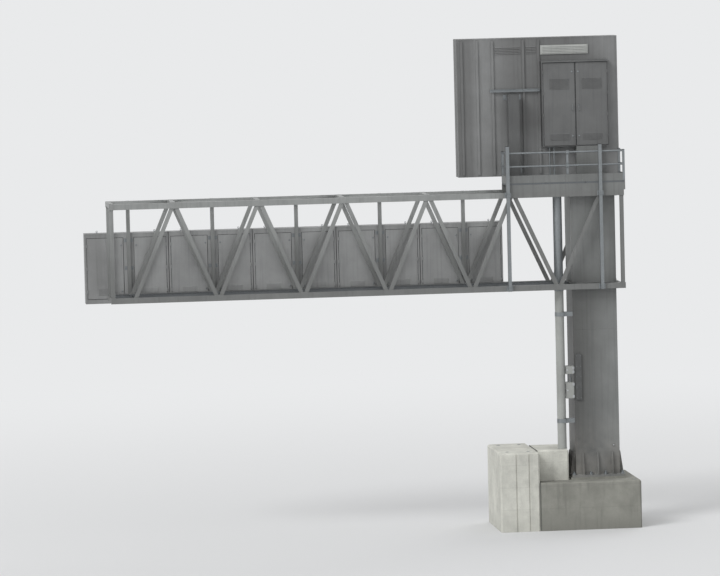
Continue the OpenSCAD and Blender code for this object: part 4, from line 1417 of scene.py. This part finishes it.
class OBJECT_OT_gantry_platform(bpy.types.Operator):
    """Replaces the plain deck by bar gratings on channels and adds the fixings of its boards and posts"""

    bl_idname = "object.gantry_platform"
    bl_label = "Platform"

    def execute(self, context):
        sizes = context.scene.gantry_sizes
        self.add_bearers(*each_box("platform_bearers", Y))
        low, high = span("platform_deck")
        seams = np.linspace(low[X], high[X], 4)
        panels = []
        for left, right in zip(seams, seams[1:]):
            start, stop = low.copy(), high.copy()
            start[X], stop[X] = left + 0.003, right - 0.003
            panels.append(grating(start, stop, Y, sizes))
        add_piece("deck_grating", "galvanised", *panels, instead_of="platform_deck")
        plates, heads = [], []
        within = (low + 0.01, high - 0.01)
        for a, b in each_box("short_posts"):
            plate, fixings, weld = footing(a, b, a[Z], 0.06, 0.01, 0.012, 0.6 * sizes.weld, within)
            plates += [plate, weld]
            heads.append(fixings)
        add_piece("post_foot_plates", "galvanised", *plates)
        add_piece("post_foot_bolts", "galvanised", *heads)
        caps = [self.cap(*post) for node in ("short_posts", "tall_posts") for post in each_box(node)]
        add_piece("post_caps", "galvanised", *caps)
        self.add_board_fixings()
        return {"FINISHED"}

    def add_bearers(self, near, far, wall=0.009, flange=0.013):
        """Rolled channels with their webs outwards, bolted down through their lower flanges."""
        beams = [(a[X] + b[X]) / 2 for a, b in each_box("top_cross_beams") if a[X] > near[0][X]]
        cap_low, cap_high = span("mast_cap")
        under_far = [*beams, 0.7 * cap_low[X], 0.7 * cap_high[X]]
        under_near = spread(near[0][X] + 0.2, span("near_top_chord")[1][X] - 0.1, 0.6)
        channels, heads = [], []
        for (low, high), sign, columns in ((near, -1, under_near), (far, 1, under_far)):
            web, toe = (low[Y], high[Y]) if sign < 0 else (high[Y], low[Y])
            inner, floor, top = web - wall * sign, low[Z], high[Z]
            section = [
                (web, floor), (toe, floor), (toe, floor + flange), (inner, floor + flange),
                (inner, top - flange), (toe, top - flange), (toe, top), (web, top),
            ]
            channels.append(extruded(section, X, low[X], high[X]))
            places = lattice_of(columns, [(inner + toe) / 2], [floor + flange])
            heads.append(bolts(0.02, places, stud=0.012))
        add_piece("bearer_channels", "boom_paint", *channels, instead_of="platform_bearers")
        add_piece("bearer_bolts", "galvanised", *heads)

    def cap(self, low, high):
        """A low pyramid on a post: square rings, drawn in as they rise."""
        corners = np.array([(1, -1), (1, 1), (-1, 1), (-1, -1)])
        middle, half = (low + high) / 2, (high - low) / 2
        rings = np.empty((3, 4, 3))
        for ring, (out, up) in zip(rings, [(0.001, 0), (0.001, 0.006), (-0.02, 0.014)]):
            ring[:, :Z] = middle[:Z] + corners * (half[:Z] + out)
            ring[:, Z] = high[Z] + up
        return carried(rings)

    def add_board_fixings(self):
        """Bolt heads along the outer faces of the toe boards."""
        heads = []
        for a, b in each_box("toe_boards"):
            along = X if b[X] - a[X] > b[Y] - a[Y] else Y
            across = X + Y - along
            face, sign = (a[across], -1) if a[across] < 0 else (b[across], 1)
            lists = [None, None, [a[Z] + 0.035, b[Z] - 0.035]]
            lists[along], lists[across] = spread(a[along] + 0.12, b[along] - 0.12, 0.5), [face]
            heads.append(rivets(0.01, lattice_of(*lists), across, sign))
        add_piece("toe_board_fixings", "galvanised", *heads)


class OBJECT_OT_gantry_rails(bpy.types.Operator):
    """Replaces the plain guard rails by bent tubes with clamps, and adds the tall posts' U-bolts"""

    bl_idname = "object.gantry_rails"
    bl_label = "Guard rails"

    def execute(self, context):
        rails = sorted(each_box("guard_rails"), key=lambda rail: rail[1][X] - rail[0][X])
        radius = (rails[0][1][Z] - rails[0][0][Z]) / 2
        tubes = []
        for low, high in rails:
            x, y, level = low[X] + radius, low[Y] + radius, (low[Z] + high[Z]) / 2
            if high[X] - low[X] < 3 * radius:
                x = (low[X] + high[X]) / 2
                path = [(x, low[Y], level), (x, high[Y], level)]
            else:
                path = bent([(x, high[Y], level), (x, y, level), (high[X], y, level)], 0.09, 8)
            tubes.append(tube(path, radius, 16))
        add_piece("rail_tubes", "galvanised", *tubes, instead_of="guard_rails")
        self.add_clamps(rails, radius)
        self.add_u_bolts()
        return {"FINISHED"}

    def add_clamps(self, rails, radius, half_width=0.04, wall=0.02):
        """A clamp block round the near rail at each post that it passes, with two bolts in its face.

        The rail lies behind the tall posts, and in front of the short one.
        """
        behind = rails[-1][0][Y] + 2 * radius
        posts = [((a[X] + b[X]) / 2, b[Y], 1) for a, b in each_box("tall_posts")]
        short = [(a, b) for a, b in each_box("short_posts") if abs(a[Y] - behind) < SAME]
        posts += [((a[X] + b[X]) / 2, a[Y], -1) for a, b in short]
        levels = sorted({round((low[Z] + high[Z]) / 2, 3) for low, high in rails})
        blocks, heads = [], []
        for x, face, side in posts:
            outer = face + side * (2 * radius + 0.006)
            for level in levels:
                start = (x - half_width, face, level - radius - wall)
                blocks.append(slabs(start, (x + half_width, outer, level + radius + wall), 0.006))
                places = [(x, outer, level + way * (radius + 0.005)) for way in (-1, 1)]
                heads.append(bolts(0.01, places, Y, side))
        add_piece("rail_clamps", "galvanised", *blocks)
        add_piece("rail_clamp_bolts", "galvanised", *heads)

    def add_u_bolts(self, wire=0.008, apart=0.035, thick=0.012, lip=0.035, half_height=0.068):
        """Two round bars bent round each tall post at each chord, with plates on the chord's face."""
        bars, plates, nuts = [], [], []
        for low, high in each_box("tall_posts"):
            x, front, face = (low[X] + high[X]) / 2, low[Y] - wire, high[Y]
            half = (high[X] - low[X]) / 2 + wire
            left, right = x - half, x + half
            for middle in chord_levels("near"):
                start = (left - lip, face - thick, middle - half_height)
                plates.append(slabs(start, (right + lip, face, middle + half_height), 0.002))
                for level in (middle - apart, middle + apart):
                    turns = [(left, face), (left, front), (right, front), (right, face)]
                    bars.append(tube(bent([(*turn, level) for turn in turns], 0.02), wire, 10))
                    nuts += [(left, face - thick, level), (right, face - thick, level)]
        add_piece("tall_post_plates", "galvanised", *plates)
        add_piece("tall_post_u_bolts", "galvanised", *bars)
        add_piece("tall_post_nuts", "galvanised", bolts(0.016, nuts, Y, -1))


# Cable riser


class OBJECT_OT_gantry_riser(bpy.types.Operator):
    """Replaces the plain riser by a coated pipe with a zinc head, and adds its straps and box fittings"""

    bl_idname = "object.gantry_riser"
    bl_label = "Cable riser"

    def execute(self, context):
        low, high = span("riser_pipe")
        centre = (low + high) / 2 * (1, 1, 0)
        bracket_low, bracket_high = boxes("riser_brackets")
        radius = abs(centre[X] - bracket_low[0, X])
        flange = (high[X] - low[X]) / 2
        joint = span("near_bottom_chord")[0][Z]
        foot = [
            (flange - 0.003, low[Z]), (flange, low[Z] + 0.004), (flange, low[Z] + 0.026),
            (flange - 0.003, low[Z] + 0.03), (radius, low[Z] + 0.032), (radius, joint),
        ]
        head = [
            (radius + 0.002, joint - 0.05), (radius + 0.008, joint - 0.046),
            (radius + 0.008, joint + 0.046), (radius, joint + 0.05), (radius, high[Z] - 0.032),
            (flange - 0.003, high[Z] - 0.03), (flange, high[Z] - 0.026), (flange, high[Z]),
        ]
        foot, head = (stamped(turned(outline, 48), centre) for outline in (foot, head))
        add_piece("riser_tube", "riser_coating", foot, instead_of="riser_pipe")
        add_piece("riser_head", "galvanised", head)
        self.add_clips(centre, radius, (bracket_low[:, Z] + bracket_high[:, Z]) / 2)
        self.add_lids()
        return {"FINISHED"}

    def add_clips(self, centre, radius, levels, thick=0.006, half_height=0.055):
        """A flat strap bent round the pipe at each bracket, its two ears bolted to a plate there.

        The strap's outline is a half circle outside the pipe, two straight runs
        to the plate, the ears along it, and a half circle back at the pipe's
        surface.
        """
        turn = np.linspace(-np.pi / 2, np.pi / 2, 25)
        arc = np.stack([-np.cos(turn), np.sin(turn)], -1)
        reach, ear, inner, plate = radius + thick, radius + 0.05, radius - 0.002, radius - 0.004
        outer = plate - thick
        outline = np.concatenate([
            [(plate, -ear), (outer, -ear), (outer, -reach)],
            reach * arc,
            [(outer, reach), (outer, ear), (plate, ear), (plate, inner)],
            inner * arc[::-1],
            [(plate, -inner)],
        ])
        places = centre + heights(levels)
        strap = extruded(outline, Z, -half_height, half_height)
        add_piece("riser_straps", "galvanised", stamped(strap, places))
        half = np.array([0.006, radius + 0.06, 0.058])
        plates = slabs_at(places + (radius + 0.002, 0, 0), half, 0.002)
        add_piece("riser_strap_plates", "galvanised", plates)
        heads = round_each(places, [outer], [-radius - 0.028, radius + 0.028], [-0.028, 0.028])
        add_piece("riser_strap_bolts", "galvanised", bolts(0.012, heads, X, -1))

    def add_lids(self):
        """A lid with gasket, hinges and lock on each box, and the conduits and nipples that join them."""
        low, high = boxes("riser_boxes")
        lid_low, lid_high = low + (0.008, -0.014, 0.008), high - (0.008, 0, 0.008)
        lid_high[:, Y] = low[:, Y] - 0.004
        add_piece("box_lids", "riser_coating", slabs(lid_low, lid_high, 0.004))
        seal_low, seal_high = lid_low + 0.005, lid_high - 0.005
        seal_low[:, Y], seal_high[:, Y] = low[:, Y] - 0.006, low[:, Y] + 0.002
        add_piece("box_gaskets", "riser_coating", slabs(seal_low, seal_high, 0.001))
        shapes = []
        for a, b in zip(lid_low, lid_high):
            shapes.append(hinges(b[X] - 0.012, a[Y], spread(a[Z] + 0.05, b[Z] - 0.05, 0.3)))
            shapes.append(locks(a[X] + 0.035, a[Y], [(a[Z] + b[Z]) / 2]))
        add_piece("box_furniture", "galvanised", *shapes)
        middle = (low + high) / 2
        order = np.argsort(low[:, Z])
        gap = (high[order[0], Z] - 0.01, low[order[1], Z] + 0.01)
        link = turned([(0.016, gap[0]), (0.016, gap[1])], 12)
        nipple = turned([(0.02, 0), (0.02, 0.035)], 12)
        sides = np.stack([low[:, X] - 0.03, np.full(len(low), middle[0, Y] - 0.03), middle[:, Z]], -1)
        links = stamped(link, on_plane(Z, 0, middle[0, X] + np.array([-0.04, 0.04]), [middle[0, Y]]))
        add_piece("box_conduits", "galvanised", links, stamped(nipple, sides, X))
        self.add_duct(span("mast")[0], low[:, Z].min() - 0.04, high[:, Z].max() + 0.33)

    def add_duct(self, corner, bottom, top, deep=0.05, lid=0.004, lip=0.003):
        """A cable duct on the mast's face beside the boxes: a channel, the lid that grips it, and screws.
        Its dark plastic is also painted shade, the boxes' shadow on the mast.
        """
        left, right, wall, front = corner[X] + 0.04, corner[X] + 0.2, corner[Y], corner[Y] - deep
        lid_low = (left - lip, front - lid, bottom - 0.002)
        add_piece(
            "cable_duct", "display",
            slabs((left, front, bottom), (right, wall, top), 0.003),
            slabs(lid_low, (right + lip, front + 0.016, top + 0.002), 0.003),
        )
        levels = spread(bottom + 0.06, top - 0.06, 0.28)
        places = lattice_of([left + 0.025, right - 0.025], [front - lid], levels)
        add_piece("cable_duct_screws", "galvanised", bolts(0.008, places, Y, -1))


# Stage


class OBJECT_OT_gantry_stage(bpy.types.Operator):
    """Adds the floor, the lights, the backdrop and the camera"""

    bl_idname = "object.gantry_stage"
    bl_label = "Stage"

    def execute(self, context):
        scene = context.scene
        stage, backdrop = scene.gantry_stage, tint(scene.gantry_colours.backdrop)
        self.add_floor(scene, stage.floor_radius, backdrop)
        self.add_world(scene, backdrop)
        # Each light: its name, the way it shines, its strength, and its width in degrees
        lights = (
            ("key_light", (0.62, 0.5, -0.6), 1.5, 25),
            ("fill_light", (0.35, 1.0, -0.15), 0.45, 90),
            ("rim_light", (-0.5, -0.75, -0.45), 0.5, 40),
        )
        for name, direction, strength, width in lights:
            light = bpy.data.lights.new(name, "SUN")
            light.energy = strength
            light.angle = math.radians(width)
            lamp = bpy.data.objects.new(name, light)
            lamp.rotation_euler = Vector(direction).to_track_quat("-Z", "Y").to_euler()
            scene.collection.objects.link(lamp)
        self.add_camera(scene, stage)
        scene.view_settings.view_transform = "Standard"
        return {"FINISHED"}

    def add_floor(self, scene, reach, backdrop, around=96):
        """A round flat floor: rings of points at shrinking radius, the smallest closed by one face."""
        radius = reach * np.linspace(1.0, 0.004, 24) ** 1.5
        shape = turned(np.stack([radius, 0 * radius], -1), around)
        faces = shape.corners[: -2 * around].reshape(-1, 4).tolist()
        faces.append(shape.corners[-around:].tolist())
        mesh = bpy.data.meshes.new("floor")
        mesh.from_pydata(shape.points.tolist(), [], faces)
        mesh.update()
        floor = bpy.data.objects.new("floor", mesh)
        scene.collection.objects.link(floor)
        # Matt painted studio floor: plain and pale, from 10 to 45 m out it turns into the
        # backdrop for the camera, and from below it is clear
        material, tree, shader, place = new_material("matt_studio_floor")
        set_inputs(tree, shader, {"Base Color": tint(backdrop, 0.8), "Roughness": 0.95})
        path = add_node(tree, "LightPath").outputs["Is Camera Ray"]
        away = add_node(tree, "VectorMath", {0: place}, operation="LENGTH")
        run = {"Value": away, "From Min": 10.0, "From Max": 45.0}
        far = add_node(tree, "MapRange", run, interpolation_type="SMOOTHSTEP")
        glow = add_node(tree, "Emission", {"Color": backdrop})
        seen = add_node(tree, "Math", {0: far, 1: path}, operation="MULTIPLY")
        blend = add_node(tree, "MixShader", {"Fac": seen, 1: shader, 2: glow})
        back = add_node(tree, "NewGeometry").outputs["Backfacing"]
        under = add_node(tree, "Math", {0: back, 1: path}, operation="MULTIPLY")
        clear = add_node(tree, "BsdfTransparent")
        open_below = add_node(tree, "MixShader", {"Fac": under, 1: blend, 2: clear})
        output = next(n for n in tree.nodes if n.type == "OUTPUT_MATERIAL")
        set_inputs(tree, output, {"Surface": open_below})
        mesh.materials.append(material)

    def add_world(self, scene, backdrop):
        """Camera, glossy and clear rays meet the backdrop, and all others a soft sky that dims below."""
        world = bpy.data.worlds.new("studio")
        world.use_nodes = True
        scene.world = world
        tree = world.node_tree
        tree.nodes.clear()
        path = add_node(tree, "LightPath").outputs
        plain = path["Is Camera Ray"]
        for ray in ("Is Glossy Ray", "Is Transmission Ray"):
            plain = add_node(tree, "Math", {0: plain, 1: path[ray]}, operation="MAXIMUM")
        way = add_node(tree, "TexCoord").outputs["Generated"]
        rise = add_node(tree, "SeparateXYZ", {"Vector": way}).outputs["Z"]
        sky = add_node(tree, "MapRange", {"Value": rise, "From Min": -1.0, "To Min": 0.32, "To Max": 0.76})
        soft = add_node(tree, "Background", {"Color": (1.0, 1.0, 1.0, 1.0), "Strength": sky})
        flat = add_node(tree, "Background", {"Color": backdrop, "Strength": 1.0})
        both = add_node(tree, "MixShader", {"Fac": plain, 1: soft, 2: flat})
        add_node(tree, "OutputWorld", {"Surface": both})

    def add_camera(self, scene, stage):
        """The camera stands where the photograph's stood and looks at the object's middle."""
        x, y = (-stage.distance * wave(stage.bearing) for wave in (math.sin, math.cos))
        place = Vector((x, y, stage.height))
        low, high = (Vector(corner) for corner in CAD_BOX)
        ahead = ((low + high) / 2 - place).normalized()
        side = ahead.cross(Vector((0, 0, 1))).normalized()
        rise = side.cross(ahead)
        lean, level = math.sin(stage.roll), math.cos(stage.roll)
        data = bpy.data.cameras.new("camera")
        data.lens = stage.lens
        data.sensor_width = 36.0
        data.clip_end = 2000.0
        camera = bpy.data.objects.new("camera", data)
        axes = Matrix((level * side - lean * rise, lean * side + level * rise, -ahead))
        camera.matrix_world = Matrix.Translation(place) @ axes.transposed().to_4x4()
        scene.collection.objects.link(camera)
        scene.camera = camera


class VIEW3D_PT_gantry(bpy.types.Panel):
    """Lists the gantry's operators"""

    bl_label = "Gantry"
    bl_idname = "VIEW3D_PT_gantry"
    bl_space_type = "VIEW_3D"
    bl_region_type = "UI"
    bl_category = "Gantry"

    def draw(self, context):
        for operator in OPERATORS:
            self.layout.operator(operator.bl_idname)


OPERATORS = (
    OBJECT_OT_gantry_finishes,
    OBJECT_OT_gantry_foundation,
    OBJECT_OT_gantry_foot,
    OBJECT_OT_gantry_mast,
    OBJECT_OT_gantry_root,
    OBJECT_OT_gantry_lattice,
    OBJECT_OT_gantry_walkway,
    OBJECT_OT_gantry_hangers,
    OBJECT_OT_gantry_boom_sign,
    OBJECT_OT_gantry_upper_sign,
    OBJECT_OT_gantry_housing,
    OBJECT_OT_gantry_supports,
    OBJECT_OT_gantry_platform,
    OBJECT_OT_gantry_rails,
    OBJECT_OT_gantry_riser,
    OBJECT_OT_gantry_stage,
)
SETTINGS = {"gantry_sizes": GantrySizes, "gantry_colours": GantryColours, "gantry_stage": GantryStage}


def register():
    """Registers the settings, the operators and the panel."""
    for name, group in SETTINGS.items():
        bpy.utils.register_class(group)
        setattr(bpy.types.Scene, name, bpy.props.PointerProperty(type=group))
    for made in (*OPERATORS, VIEW3D_PT_gantry):
        bpy.utils.register_class(made)


def unregister():
    """Undoes register."""
    for made in (VIEW3D_PT_gantry, *reversed(OPERATORS)):
        bpy.utils.unregister_class(made)
    for name, group in SETTINGS.items():
        delattr(bpy.types.Scene, name)
        bpy.utils.unregister_class(group)


def main():
    """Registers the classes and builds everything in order."""
    register()
    for operator in OPERATORS:
        space, name = operator.bl_idname.split(".")
        getattr(getattr(bpy.ops, space), name)()


if __name__ == "__main__":
    main()
